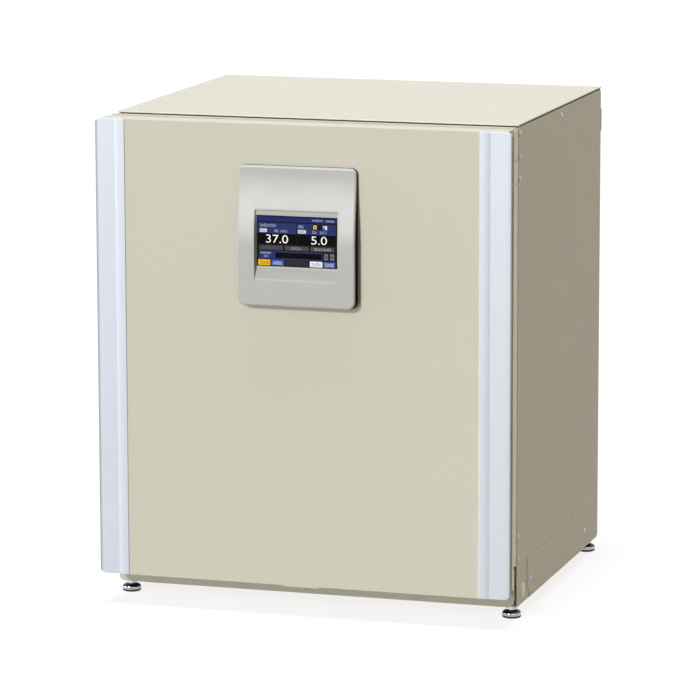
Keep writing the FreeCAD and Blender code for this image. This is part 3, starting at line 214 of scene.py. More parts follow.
BEIGE = (0.690, 0.672, 0.560)
M = {
    "paint": material("powder_coat_ivory", BEIGE, 0.46, mottle=0.012, mottle_scale=2.6, grain=520.0, grain_depth=0.05, grain_strength=0.16, rough_var=0.05, cells=0.5, cell_scale=420.0, spec=0.4),
    "paint_door": material("powder_coat_ivory_door", BEIGE, 0.44, mottle=0.010, mottle_scale=2.0, grain=520.0, grain_depth=0.05, grain_strength=0.14, rough_var=0.05, cells=0.5, cell_scale=420.0, spec=0.4),
    "plug": material("moulded_plug_ivory", (0.97, 0.95, 0.82), 0.34, mottle=0.02, mottle_scale=30.0, grain=1500.0, grain_depth=0.01, grain_strength=0.2),
    "trim": material("satin_trim_pale_blue", lin(234, 241, 255), 0.42, mottle=0.012, mottle_scale=9.0, grain=1300.0, grain_depth=0.02, grain_strength=0.2, rough_var=0.06, spec=0.3, specks=0.035),
    "console": material("silver_lacquer", lin(191, 193, 191), 0.36, metal=0.05, mottle=0.010, mottle_scale=12.0, grain=2200.0, grain_depth=0.012, grain_strength=0.16, rough_var=0.03, coat=0.0, specks=0.045, spec=0.32),
    "bezel": material("silver_lacquer_recess", lin(206, 207, 203), 0.62, spec=0.12, mottle=0.010, mottle_scale=12.0, grain=1800.0, grain_depth=0.012, grain_strength=0.16, specks=0.04),
    "stainless": material("brushed_stainless", (0.47, 0.47, 0.46), 0.36, metal=1.0, mottle=0.03, mottle_scale=4.0, grain=420.0, grain_depth=0.012, grain_strength=0.30, stretch=(0.03, 1.0, 1.0), rough_var=0.07, rough_scale=14.0, streaks=0.10),
    "stainless_v": material("brushed_stainless_duct", (0.47, 0.47, 0.46), 0.34, metal=1.0, mottle=0.03, mottle_scale=4.0, grain=420.0, grain_depth=0.012, grain_strength=0.30, stretch=(1.0, 1.0, 0.03), rough_var=0.07, rough_scale=14.0, streaks=0.10),
    "steel": material("zinc_plated_steel", (0.52, 0.53, 0.55), 0.34, metal=1.0, mottle=0.06, mottle_scale=60.0, grain=700.0, grain_depth=0.02, grain_strength=0.25, rough_var=0.10, rough_scale=120.0),
    "screw": material("bright_screw_steel", (0.42, 0.43, 0.45), 0.22, metal=1.0, mottle=0.05, mottle_scale=300.0, grain=2500.0, grain_depth=0.01, grain_strength=0.3, rough_var=0.08, rough_scale=600.0),
    "chrome": material("chromed_steel", (0.62, 0.62, 0.63), 0.14, metal=1.0, mottle=0.03, mottle_scale=90.0, grain=1600.0, grain_depth=0.004, grain_strength=0.25, rough_var=0.05, rough_scale=160.0),
    # Near-black mirror metal: painted dark reflection for the upper dome of the feet, in place of the darker
    # surroundings chrome would mirror.
    "chrome_reflection_dark": material("chrome_painted_dark_reflection", (0.045, 0.05, 0.055), 0.16, metal=1.0, mottle=0.10, mottle_scale=90.0, grain=1600.0, grain_depth=0.004, grain_strength=0.25, rough_var=0.06, rough_scale=160.0),
    "neck": material("satin_zinc_neck", (0.50, 0.55, 0.61), 0.34, metal=0.85, mottle=0.05, mottle_scale=90.0, grain=900.0, grain_depth=0.01, grain_strength=0.2, rough_var=0.08),
    "rubber_black": material("foot_rubber", (0.012, 0.012, 0.013), 0.62, mottle=0.2, mottle_scale=80.0, grain=1200.0, grain_depth=0.04, grain_strength=0.3),
    "rubber": material("door_seal_rubber", (0.34, 0.34, 0.335), 0.60, mottle=0.06, mottle_scale=30.0, grain=900.0, grain_depth=0.04, grain_strength=0.3, sheen=0.1),
    "silicone": material("milky_silicone", (0.74, 0.74, 0.71), 0.42, mottle=0.03, mottle_scale=40.0, grain=600.0, grain_depth=0.02, grain_strength=0.2, coat=0.2, coat_rough=0.3),
    "glass": material("tempered_glass", (0.90, 0.97, 0.94), 0.03, mottle=0.01, mottle_scale=3.0, grain=20.0, grain_depth=0.002, grain_strength=0.05, rough_var=0.01, transmission=1.0, ior=1.50),
    "lamp": material("quartz_tube", (0.86, 0.90, 0.98), 0.06, mottle=0.02, mottle_scale=20.0, grain=60.0, grain_depth=0.003, grain_strength=0.05, rough_var=0.02, transmission=0.85, ior=1.46),
    "frame_plastic": material("frame_moulding", (0.60, 0.585, 0.49), 0.48, mottle=0.02, mottle_scale=8.0, grain=800.0, grain_depth=0.03, grain_strength=0.2),
    "foam": material("rigid_foam", (0.68, 0.62, 0.44), 0.85, mottle=0.10, mottle_scale=24.0, grain=260.0, grain_depth=0.4, grain_strength=0.5, cells=0.8, cell_scale=260.0, rough_var=0.05),
    "spacer": material("spacer_grey_moulding", lin(150, 146, 160), 0.50, mottle=0.08, mottle_scale=60.0, grain=1300.0, grain_depth=0.03, grain_strength=0.3),
    # Near-black and matte: painted shadow for the console's side wall and back, where its drop shadow falls.
    "console_shadow_black": material("console_side_painted_shadow", (0.006, 0.006, 0.006), 0.85, mottle=0.2, mottle_scale=60.0, grain=1300.0, grain_depth=0.03, grain_strength=0.3, spec=0.05),
    "black": material("black_moulding", (0.018, 0.018, 0.02), 0.42, mottle=0.15, mottle_scale=60.0, grain=1300.0, grain_depth=0.03, grain_strength=0.3),
    "grey": material("grey_moulding", (0.22, 0.225, 0.23), 0.45, mottle=0.05, mottle_scale=40.0, grain=1300.0, grain_depth=0.03, grain_strength=0.3),
    "cream": material("ivory_moulding", (0.66, 0.63, 0.52), 0.40, mottle=0.02, mottle_scale=20.0, grain=1200.0, grain_depth=0.02, grain_strength=0.2),
    "heater": material("silicone_heater_mat", (0.62, 0.19, 0.05), 0.62, mottle=0.06, mottle_scale=30.0, grain=500.0, grain_depth=0.06, grain_strength=0.4, cells=0.5, cell_scale=350.0),
    "brass": material("turned_brass", (0.76, 0.58, 0.27), 0.26, metal=1.0, mottle=0.05, mottle_scale=50.0, grain=900.0, grain_depth=0.01, grain_strength=0.3, stretch=(1.0, 8.0, 1.0), rough_var=0.08),
    "motor": material("cast_motor_metal", (0.33, 0.34, 0.36), 0.48, metal=0.9, mottle=0.08, mottle_scale=40.0, grain=600.0, grain_depth=0.06, grain_strength=0.4),
    "board": material("solder_mask_green", (0.015, 0.13, 0.055), 0.34, mottle=0.10, mottle_scale=120.0, grain=400.0, grain_depth=0.03, grain_strength=0.4, cells=0.8, cell_scale=220.0, coat=0.3, coat_rough=0.2),
    # Darker, duller copy of the bezel colour: painted shade for the upward-facing ramp faces, which the lamps from
    # above light brighter.
    "ramp": material("silver_lacquer_ramp_painted_shade", lin(186, 187, 182), 0.70, spec=0.06, mottle=0.02, mottle_scale=30.0, grain=1800.0, grain_depth=0.012, grain_strength=0.16, specks=0.04),
    "socket": material("latch_hole_black", (0.006, 0.006, 0.006), 0.7, mottle=0.2, mottle_scale=80.0, grain=900.0, grain_depth=0.03, grain_strength=0.2),
}


def paint_shade_on_outer_edge(m, start, end, least):
    """Painted shade: darkens the base colour towards the rolled outer edge by position, from full colour at |x| = start
    down to least times it at |x| = end.
    """
    nt = m.node_tree
    p = next(x for x in nt.nodes if x.type == "BSDF_PRINCIPLED")
    source = p.inputs["Base Color"].links[0].from_socket
    tc = nt.nodes.new("ShaderNodeTexCoord")
    xyz = nt.nodes.new("ShaderNodeSeparateXYZ")
    nt.links.new(tc.outputs["Object"], xyz.inputs[0])
    mag = nt.nodes.new("ShaderNodeMath")
    mag.operation = "ABSOLUTE"
    nt.links.new(xyz.outputs["X"], mag.inputs[0])
    ramp = nt.nodes.new("ShaderNodeMapRange")
    ramp.interpolation_type = "SMOOTHSTEP"
    ramp.inputs["From Min"].default_value = start
    ramp.inputs["From Max"].default_value = end
    ramp.inputs["To Min"].default_value = 1.0
    ramp.inputs["To Max"].default_value = least
    nt.links.new(mag.outputs[0], ramp.inputs["Value"])
    mix = nt.nodes.new("ShaderNodeMix")
    mix.data_type = "RGBA"
    mix.blend_type = "MULTIPLY"
    mix.inputs["Factor"].default_value = 1.0
    grey = nt.nodes.new("ShaderNodeCombineColor")
    for c in ("Red", "Green", "Blue"):
        nt.links.new(ramp.outputs["Result"], grey.inputs[c])
    nt.links.new(source, mix.inputs["A"])
    nt.links.new(grey.outputs[0], mix.inputs["B"])
    nt.links.new(mix.outputs["Result"], p.inputs["Base Color"])


# Left trim: a slightly darker copy of the trim colour, with painted shade along its rolled outer edge.
M["trim_left"] = material("satin_trim_pale_blue_left_painted_edge_shade", lin(231, 238, 254), 0.42, mottle=0.012, mottle_scale=9.0, grain=1300.0, grain_depth=0.02, grain_strength=0.2, rough_var=0.06, spec=0.3, specks=0.035)
paint_shade_on_outer_edge(M["trim_left"], 0.3782, 0.3850, 0.38)


# ------------------------------------------------------------------ piece helpers
def finish_piece(obj, body, mats, stands_for=()):
    if len(obj.data.materials) == 0:
        for m in mats:
            obj.data.materials.append(m)
    scene.collection.objects.link(obj)
    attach(obj, body)
    if stands_for:
        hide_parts(*stands_for)
    return obj


def sharpen(bm, angle):
    """Smooth shading with hard edges above an angle."""
    bm.normal_update()
    for f in bm.faces:
        f.smooth = True
    limit = math.radians(angle)
    for e in bm.edges:
        e.smooth = not (len(e.link_faces) == 2 and e.calc_face_angle(0.0) > limit)


def piece(name, bm, body, mats, stands_for=(), angle=38.0, smooth=True):
    bmesh.ops.recalc_face_normals(bm, faces=bm.faces)
    if smooth:
        sharpen(bm, angle)
    me = bpy.data.meshes.new(name)
    bm.to_mesh(me)
    bm.free()
    obj = bpy.data.objects.new(name, me)
    return finish_piece(obj, body, mats, stands_for)


def apply_modifiers(obj):
    dg = bpy.context.evaluated_depsgraph_get()
    me = bpy.data.meshes.new_from_object(obj.evaluated_get(dg), preserve_all_data_layers=True, depsgraph=dg)
    old = obj.data
    obj.modifiers.clear()
    obj.data = me
    bpy.data.meshes.remove(old)


REFINED = {}


def refined(node, bevel, mat, segments=2, limit=32.0):
    """A copy of a CAD node with its facets merged and its sharp edges rolled over by a small radius."""
    src = NODES[node].data
    bm = bmesh.new()
    bm.from_mesh(src)
    bmesh.ops.remove_doubles(bm, verts=bm.verts, dist=2e-6)
    bmesh.ops.dissolve_degenerate(bm, dist=1e-7, edges=bm.edges)
    for f in bm.faces:
        f.material_index = 0
        f.smooth = True
    bmesh.ops.dissolve_limit(
        bm, angle_limit=math.radians(0.4), use_dissolve_boundaries=False, verts=bm.verts, edges=bm.edges, delimit=set()
    )
    bmesh.ops.recalc_face_normals(bm, faces=bm.faces)
    for e in bm.edges:
        e.smooth = True
    vol = abs(bm.calc_volume())
    me = bpy.data.meshes.new(node + "_finished")
    bm.to_mesh(me)
    bm.free()
    for name in [a.name for a in me.attributes if a.name.startswith("custom_normal")]:
        me.attributes.remove(me.attributes[name])
    obj = bpy.data.objects.new(node + "_finished", me)
    me.materials.clear()
    me.materials.append(mat)
    scene.collection.objects.link(obj)
    bv = obj.modifiers.new("edge_radius", "BEVEL")
    bv.width = bevel * MM
    bv.segments = segments
    bv.limit_method = "ANGLE"
    bv.angle_limit = math.radians(limit)
    bv.use_clamp_overlap = True
    bv.harden_normals = False
    bv.miter_outer = "MITER_SHARP"
    wn = obj.modifiers.new("even_normals", "WEIGHTED_NORMAL")
    wn.weight = 80
    wn.keep_sharp = False
    tri = obj.modifiers.new("faces", "TRIANGULATE")
    tri.keep_custom_normals = True
    bpy.context.view_layer.update()
    apply_modifiers(obj)
    bm = bmesh.new()
    bm.from_mesh(obj.data)
    v2 = abs(bm.calc_volume())
    bm.free()
    REFINED[node] = (vol, v2)
    scene.collection.objects.unlink(obj)
    if vol > 0 and abs(v2 - vol) / vol > 0.12:
        bpy.data.objects.remove(obj)
        paint_node(node, mat)
        return None
    return finish_piece(obj, BODY[node], [mat], [node])


def paint_node(node, mat):
    obj = NODES[node]
    if not obj.material_slots:
        obj.data.materials.append(mat)
    for s in obj.material_slots:
        s.material = mat


def box_into(bm, x0, x1, y0, y1, z0, z1, mi=0):
    vs = [bm.verts.new((x, y, z)) for x in (x0, x1) for y in (y0, y1) for z in (z0, z1)]
    quads = ((0, 1, 3, 2), (4, 6, 7, 5), (0, 4, 5, 1), (2, 3, 7, 6), (0, 2, 6, 4), (1, 5, 7, 3))
    fs = []
    for q in quads:
        f = bm.faces.new([vs[i] for i in q])
        f.material_index = mi
        fs.append(f)
    return vs, fs


def lathe_into(bm, profile, centre, axis="z", steps=64, mats=None):
    """Turns (radius, height) points about an axis through centre; both ends close on the axis."""
    rings = []
    for r, h in profile:
        if r < 1e-9:
            rings.append([bm.verts.new(spin(centre, axis, 0.0, 0.0, h))])
            continue
        rings.append([bm.verts.new(spin(centre, axis, r, 2 * math.pi * i / steps, h)) for i in range(steps)])
    for k in range(len(rings) - 1):
        a, b = rings[k], rings[k + 1]
        mi = mats[k] if mats else 0
        for i in range(steps):
            j = (i + 1) % steps
            if len(a) == 1 and len(b) == 1:
                continue
            if len(a) == 1:
                f = bm.faces.new((a[0], b[i], b[j]))
            elif len(b) == 1:
                f = bm.faces.new((a[i], b[0], a[j]))
            else:
                f = bm.faces.new((a[i], b[i], b[j], a[j]))
            f.material_index = mi
    return rings


def spin(c, axis, r, a, h):
    u, v = r * math.cos(a), r * math.sin(a)
    if axis == "z":
        return (c[0] + u, c[1] + v, c[2] + h)
    if axis == "y":
        return (c[0] + u, c[1] + h, c[2] + v)
    if axis == "-y":
        return (c[0] + u, c[1] - h, c[2] + v)
    if axis == "-x":
        return (c[0] - h, c[1] + u, c[2] + v)
    return (c[0] + h, c[1] + u, c[2] + v)


def arc(cx, cy, r, a0, a1, n):
    return [(cx + r * math.cos(math.radians(a0 + (a1 - a0) * i / n)), cy + r * math.sin(math.radians(a0 + (a1 - a0) * i / n))) for i in range(n + 1)]


def islands(node):
    """Bounding boxes of the separate solids in a CAD node."""
    bm = bmesh.new()
    bm.from_mesh(NODES[node].data)
    bmesh.ops.remove_doubles(bm, verts=bm.verts, dist=2e-6)
    seen, found = set(), []
    for v in bm.verts:
        if v in seen:
            continue
        stack, pts = [v], []
        seen.add(v)
        while stack:
            w = stack.pop()
            pts.append(w.co.copy())
            for e in w.link_edges:
                o = e.other_vert(w)
                if o not in seen:
                    seen.add(o)
                    stack.append(o)
        lo = Vector([min(p[i] for p in pts) for i in range(3)])
        hi = Vector([max(p[i] for p in pts) for i in range(3)])
        found.append((lo, hi, pts))
    bm.free()
    return found


# ------------------------------------------------------------------ sheet metal and mouldings
for node, bevel, mat, slot in (
    ("top_cover", 0.35, "paint", "cabinet_paint"),
    ("right_side_panel", 0.55, "paint", "cabinet_paint"),
    ("left_side_panel", 0.55, "paint", "cabinet_paint"),
    ("side_service_cover", 0.5, "paint", "cabinet_paint"),
    ("back_panel", 0.5, "paint", "cabinet_paint"),
    ("base_pan", 0.8, "paint", "cabinet_paint"),
    ("base_front_panel", 0.5, "paint", "cabinet_paint"),
    ("front_frame", 1.4, "paint", "cabinet_paint"),
    ("door_skin", 0.9, "paint_door", "door_paint"),
    ("door_inner_panel", 1.0, "paint_door", "door_paint"),
    ("console_bezel", 0.6, "bezel", "bezel_silver"),
    ("chamber_liner", 1.6, "stainless", "stainless"),
    ("rear_duct", 1.0, "stainless_v", "stainless"),
    ("humidity_pan", 0.4, "stainless", "stainless"),
    ("inner_door_glass", 0.8, "glass", "clear_glass"),
    ("inner_door_latch", 0.9, "black", "black_plastic"),
    ("inner_door_hinges", 0.5, "steel", "steel"),
    ("inner_hinge_brackets", 0.5, "steel", "steel"),
    ("door_hinge_leaves", 0.5, "steel", "steel"),
    ("hinge_brackets", 0.5, "steel", "steel"),
    ("hinge_pins", 0.5, "steel", "steel"),
    ("wall_spacers", 1.4, "spacer", "beige_plastic"),
    ("power_inlet", 0.6, "black", "black_plastic"),
    ("power_switch_frame", 0.6, "black", "black_plastic"),
    ("power_switch_rocker", 0.7, "grey", "grey_plastic"),
    ("access_port_sleeve", 0.6, "cream", "beige_plastic"),
    ("gas_barb", 0.3, "brass", "brass"),
    ("shelf_supports", 0.4, "stainless_v", "stainless"),
    ("temperature_probe", 0.3, "stainless_v", "stainless"),
    ("co2_sensor", 0.5, "grey", "grey_plastic"),
    ("uv_lamp_holders", 0.6, "grey", "grey_plastic"),
    ("fan_motor", 0.8, "motor", "motor_metal"),
    ("power_supply", 0.8, "steel", "steel"),
    ("gas_valve", 0.6, "brass", "brass"),
):
    made = refined(node, bevel, M[mat])
    # Upward-facing ramp faces of the bezel take the darker ramp copy: painted shade chosen by face direction.
    if made is not None and node == "console_bezel":
        made.data.materials.append(M["ramp"])
        for poly in made.data.polygons:
            if 0.15 < poly.normal.z < 0.8 and poly.normal.y < 0.0:
                poly.material_index = 1
    if made is not None and node == "front_frame":
        # Painted highlight: the frame's top faces at the seam take the pale trim colour as a light line.
        made.data.materials.append(M["trim"])
        for poly in made.data.polygons:
            if poly.normal.z > 0.7 and abs(poly.center.z - 0.885) < 0.0012:
                poly.material_index = 1
        # Painted highlight: the frame's outer right side near the front takes the lighter plug colour, so this strip
        # reads lit.
        made.data.materials.append(M["plug"])
        for poly in made.data.polygons:
            if poly.normal.x > 0.8 and poly.center.x > 0.3725 and poly.center.y < -0.259:
                poly.material_index = 2
    if made is not None and node == "side_service_cover":
        # Painted highlight: the cover's front- and top-facing edge faces take the lighter plug colour, so its seam
        # reads as a lit line.
        made.data.materials.append(M["plug"])
        for poly in made.data.polygons:
            if abs(poly.normal.x) < 0.92 and (poly.normal.y < -0.3 or poly.normal.z > 0.3):
                poly.material_index = 1

for node, mat in (
    ("insulation", "foam"),
    ("door_foam", "foam"),
    ("heater_mats", "heater"),
    ("inner_door_seal", "silicone"),
    ("uv_lamp", "lamp"),
    ("control_board", "board"),
    ("display_board", "board"),
    ("gas_filter", "cream"),
    ("gas_tubes", "silicone"),
    ("fan_wheel", "grey"),
    ("shelf_1", "stainless"),
    ("shelf_2", "stainless"),
    ("shelf_3", "stainless"),
    ("shelf_4", "stainless"),
):
    paint_node(node, M[mat])


# ------------------------------------------------------------------ side plugs: domed caps with a soft rim
bm = bmesh.new()
for lo, hi, pts in islands("side_plugs"):
    c = (lo + hi) / 2
    r = min(hi.y - lo.y, hi.z - lo.z) / 2
    out = hi.x
    root = 0.374
    height = 0.0026 if r < 0.008 else max(out - root, 0.0022)
    prof = [(0.0, -0.0016), (r * 0.45, -0.0016), (r * 0.45, 0.0)]
    rim = 0.2
    prof += [(r, 0.0), (r, height * rim)]
    prof += [(r * math.cos(math.radians(a)) , height * (rim + (1 - rim) * math.sin(math.radians(a)))) for a in (18, 36, 54, 70, 82)]
    prof += [(0.0, height)]
    lathe_into(bm, prof, (root, c.y, c.z), "x", 40)
piece("side_plugs_moulded", bm, BODY["side_plugs"], [M["plug"]], ["side_plugs"], angle=50)

# ------------------------------------------------------------------ pan-head screws with a cross recess
bm = bmesh.new()
for lo, hi, pts in islands("panel_screws"):
    size = hi - lo
    ax = min(range(3), key=lambda i: abs(size[i] - min(size)) + (0 if abs(size[(i + 1) % 3] - size[(i + 2) % 3]) < 1e-4 else 1.0))
    c = (lo + hi) / 2
    r = size[(ax + 1) % 3] / 2
    wide = [p[ax] for p in pts if math.hypot(p[(ax + 1) % 3] - c[(ax + 1) % 3], p[(ax + 2) % 3] - c[(ax + 2) % 3]) > r * 0.9]
    mean = sum(wide) / len(wide)
    sign = 1.0 if mean > c[ax] else -1.0
    face = hi[ax] if sign > 0 else lo[ax]
    seat = min(wide) if sign > 0 else max(wide)
    h = abs(face - seat)
    shank = abs(seat - (lo[ax] if sign > 0 else hi[ax]))
    steps = 32
    u, v = (ax + 1) % 3, (ax + 2) % 3

    def put(rad, ang, along):
        q = [0.0, 0.0, 0.0]
        q[ax] = seat + sign * along
        q[u] = c[u] + rad * math.cos(ang)
        q[v] = c[v] + rad * math.sin(ang)
        return bm.verts.new(q)

    rings = []
    prof = [(r * 0.45, -shank), (r * 0.45, 0.0), (r, 0.0), (r, h * 0.35), (r * 0.96, h * 0.58), (r * 0.84, h * 0.8), (r * 0.66, h * 0.94), (r * 0.5, h)]
    for rad, al in prof:
        rings.append([put(rad, 2 * math.pi * i / steps, al) for i in range(steps)])
    # cross-shaped recess: the inner ring follows a rounded cross and drops into the head
    def cross(i, k):
        a = 2 * math.pi * i / steps
        lobe = abs(math.cos(2 * a)) ** 1.6
        return r * (0.14 + 0.30 * lobe) * k

    rings.append([put(cross(i, 1.0), 2 * math.pi * i / steps, h) for i in range(steps)])
    rings.append([put(cross(i, 0.78), 2 * math.pi * i / steps, h * 0.35) for i in range(steps)])
    for a, b in zip(rings, rings[1:]):
        for i in range(steps):
            j = (i + 1) % steps
            bm.faces.new((a[i], a[j], b[j], b[i]))
    bm.faces.new(rings[-1])
    bm.faces.new(list(reversed(rings[0])))
piece("panel_screws_cross_head", bm, BODY["panel_screws"], [M["screw"]], ["panel_screws"], angle=32)


# ------------------------------------------------------------------ door side trims: one swept, crowned profile
def trim_piece(node, name, s):
    lo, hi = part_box(node)
    z0, z1 = lo.z, hi.z
    outer = max(abs(lo.x), abs(hi.x))
    inner = min(abs(lo.x), abs(hi.x))
    back = hi.y
    face = lo.y
    step_x = inner + 19.0 * MM
    prof = []

    def add(x, y):
        prof.append((x, y))

    low = face + 3.3 * MM
    roll = 2.0 * MM
    # rounded inner edge
    for px, py in arc(inner + 1.0 * MM, face + 1.0 * MM, 1.0 * MM, 180, 270, 5):
        add(px, py)
    # crowned rib that rolls down to the crease
    for i in range(1, 15):
        t = i / 14.0
        add(inner + (1.0 + 18.0 * t) * MM, face + (low - face) * t ** 3.2)
    # flat outer land with a slight crown
    for i in range(1, 9):
        t = i / 8.0
        add(step_x + (outer - roll - step_x) * t, low - 0.25 * MM * math.sin(math.pi * t))
    # rolled outer edge
    n = 10
    for i in range(1, n + 1):
        a = math.radians(90.0 * i / n)
        add(outer - roll + roll * math.sin(a), low + roll - roll * math.cos(a))
    add(outer - 0.6 * MM, back - 1.2 * MM)
    add(outer - 2.2 * MM, back)
    rr = 9.0 * MM
    e = 1.3 * MM
    cols = []
    zs = [0.0, 0.15, 0.4, 0.7, 1.0]
    bm = bmesh.new()
    rings_front = []
    for x, y in prof:
        d = max(0.0, x - (outer - rr))
        cut = rr - math.sqrt(max(rr * rr - d * d, 0.0))
        a, b = z0 + cut, z1 - cut
        col = []
        for k in zs:
            drop = e - math.sqrt(max(e * e - (e * (1 - k)) ** 2, 0.0))
            col.append(bm.verts.new((x * s, min(y + drop, back), a + e * k)))
        for k in reversed(zs):
            drop = e - math.sqrt(max(e * e - (e * (1 - k)) ** 2, 0.0))
            col.append(bm.verts.new((x * s, min(y + drop, back), b - e * k)))
        rings_front.append(col)
    backs = []
    for x, y in prof:
        d = max(0.0, x - (outer - rr))
        cut = rr - math.sqrt(max(rr * rr - d * d, 0.0))
        a, b = z0 + cut, z1 - cut
        backs.append((bm.verts.new((x * s, back, a)), bm.verts.new((x * s, back, b))))
    m = len(rings_front[0])
    for c0, c1 in zip(rings_front, rings_front[1:]):
        for k in range(m - 1):
            bm.faces.new((c0[k], c0[k + 1], c1[k + 1], c1[k]))
    for (c0, b0), (c1, b1) in zip(zip(rings_front, backs), zip(rings_front[1:], backs[1:])):
        bm.faces.new((c0[0], c1[0], b1[0], b0[0])).material_index = 1
        bm.faces.new((c0[-1], b0[1], b1[1], c1[-1])).material_index = 1
        bm.faces.new((b0[0], b1[0], b1[1], b0[1]))
    bm.faces.new([*rings_front[0], backs[0][1], backs[0][0]])
    bm.faces.new([*reversed(rings_front[-1]), backs[-1][0], backs[-1][1]])
    bmesh.ops.remove_doubles(bm, verts=bm.verts, dist=1e-6)
    bmesh.ops.dissolve_degenerate(bm, dist=1e-7, edges=bm.edges)
    return piece(name, bm, BODY[node], [M["trim" if s > 0 else "trim_left"], M["paint_door"]], [node], angle=24)


trim_piece("door_trim_right", "door_trim_right_swept", 1)
trim_piece("door_trim_left", "door_trim_left_swept", -1)


# ------------------------------------------------------------------ console cover: S-curved shell around the recess
def rounded_rect(x0, x1, z0, z1, radii, n):
    """Closed outline with n points per quarter and n per side; radii are bottom-left, bottom-right, top-right, top-left."""
    pts = []
    corners = (
        (x0, z0, radii[0], 180.0, 1, 1),
        (x1, z0, radii[1], 270.0, -1, 1),
        (x1, z1, radii[2], 0.0, -1, -1),
        (x0, z1, radii[3], 90.0, 1, -1),
    )
    arcs = []
    for cx, cz, r, a0, sx, sz in corners:
        arcs.append(arc(cx + sx * r, cz + sz * r, r, a0, a0 + 90.0, n))
    for k in range(4):
        a, b = arcs[k], arcs[(k + 1) % 4]
        half = len(a) // 2
        pts.append((k, a, b))
    out = []
    for k in range(4):
        a = arcs[k]
        nxt = arcs[(k + 1) % 4][0]
        out += a
        last = a[-1]
        m = 3 * n
        for i in range(1, m):
            t = i / m
            out.append((last[0] + (nxt[0] - last[0]) * t, last[1] + (nxt[1] - last[1]) * t))
    return out


def console():
    lo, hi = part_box("console_housing")
    wlo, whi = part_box("console_bezel")
    g = 0.15 * MM
    wx0, wx1, wz0, wz1 = wlo.x - g, whi.x + g, wlo.z - g, whi.z + g
    x0, x1, z0, z1 = lo.x, hi.x, lo.z, hi.z
    front, back = lo.y, hi.y
    n = 12
    low_r, top_r = 15.0 * MM, 10.0 * MM
    outline = rounded_rect(x0, x1, z0, z1, (low_r, low_r, top_r, top_r), n)
    inner = rounded_rect(wx0, wx1, wz0, wz1, (0.6 * MM,) * 4, n)
    thin = back - 9.0 * MM

    def surface(z):
        top, bottom = z1 - 13.0 * MM, z1 - 143.0 * MM
        t = min(max((top - z) / (top - bottom), 0.0), 1.0)
        w = t * t * (3 - 2 * t)
        return thin + (front - thin) * w

    def inside(x, z):
        """Distance inwards from the rounded outline."""
        cx, cz = (x0 + x1) / 2, (z0 + z1) / 2
        r = low_r if z < cz else top_r
        qx = abs(x - cx) - ((x1 - x0) / 2 - r)
        qz = abs(z - cz) - ((z1 - z0) / 2 - r)
        d = math.hypot(max(qx, 0), max(qz, 0)) + min(max(qx, qz), 0.0) - r
        return -d

    edge = 3.2 * MM
    shares = [0.0, 0.004, 0.02, 0.06, 0.11, 0.17, 0.24, 0.31, 0.38, 0.45, 0.52, 0.59, 0.66, 0.73, 0.79, 0.84, 0.88, 0.91, 0.935, 0.955, 0.972, 0.986, 0.995, 1.0]
    bm = bmesh.new()
    rings = []
    # recess wall from the bezel up to the front
    depth_in = wlo.y + 10.0 * MM
    wall = []
    for (ix, iz) in inner:
        wall.append(bm.verts.new((ix, min(back - 6.0 * MM, back), iz)))
    rings.append(wall)
    lip = 0.7 * MM
    for s in shares:
        ring = []
        for (ox, oz), (ix, iz) in zip(outline, inner):
            x, z = ix + (ox - ix) * s, iz + (oz - iz) * s
            y = surface(z)
            d = max(inside(x, z), 0.0)
            if d < edge:
                y += edge - math.sqrt(max(edge * edge - (edge - d) ** 2, 0.0))
            if s == 0.0:
                y += lip * (0.12 if iz < wz0 + 0.8 * MM else 1.0)
            elif s == 0.004:
                y += lip * (0.03 if iz < wz0 + 0.8 * MM else 0.3)
            ring.append(bm.verts.new((x, min(y, back - 0.2 * MM), z)))
        rings.append(ring)
    skirt = [bm.verts.new((ox, back, oz)) for ox, oz in outline]
    rings.append(skirt)
    inset = []
    for (ox, oz), (ix, iz) in zip(outline, inner):
        inset.append(bm.verts.new((ox + (ix - ox) * 0.16, back, oz + (iz - oz) * 0.16)))
    rings.append(inset)
    inset2 = []
    for (ox, oz), (ix, iz) in zip(outline, inner):
        x, z = ox + (ix - ox) * 0.18, oz + (iz - oz) * 0.18
        inset2.append(bm.verts.new((x, min(surface(z) + 3.0 * MM, back - 1.0 * MM), z)))
    rings.append(inset2)
    under = []
    for (ix, iz) in zip([p[0] for p in inner], [p[1] for p in inner]):
        under.append((ix, iz))
    last = []
    for (ox, oz), (ix, iz) in zip(outline, inner):
        x, z = ix + (ox - ix) * 0.05, iz + (oz - iz) * 0.05
        last.append(bm.verts.new((x, min(surface(z) + 3.0 * MM, back - 6.2 * MM), z)))
    rings.append(last)
    count = len(outline)
    pairs = list(zip(rings, rings[1:])) + [(rings[-1], rings[0])]
    # Faces past the front shell (side wall, back and inner returns) are painted near-black as shadow, not in the
    # console's own silver.
    painted_shadow_from = len(shares)
    for k, (a, b) in enumerate(pairs):
        for i in range(count):
            j = (i + 1) % count
            try:
                f = bm.faces.new((a[i], a[j], b[j], b[i]))
                f.material_index = 1 if k >= painted_shadow_from else 0
            except ValueError:
                pass
    bmesh.ops.remove_doubles(bm, verts=bm.verts, dist=2e-6)
    return piece("console_housing_moulded", bm, BODY["console_housing"], [M["console"], M["console_shadow_black"]], ["console_housing"], angle=48)


console()


# ------------------------------------------------------------------ touch screen and what it shows
def ui_material(name, rgb, strength=1.0, rough=0.16):
    c = lin(*rgb)
    m = material(name, c, rough, mottle=0.05, mottle_scale=90.0, grain=2600.0, grain_depth=0.002, grain_strength=0.1, rough_var=0.03, emission=0.0001, spec=0.06)
    nt = m.node_tree
    p = next(x for x in nt.nodes if x.type == "BSDF_PRINCIPLED")
    p.inputs["Emission Strength"].default_value = strength * 0.16
    return m


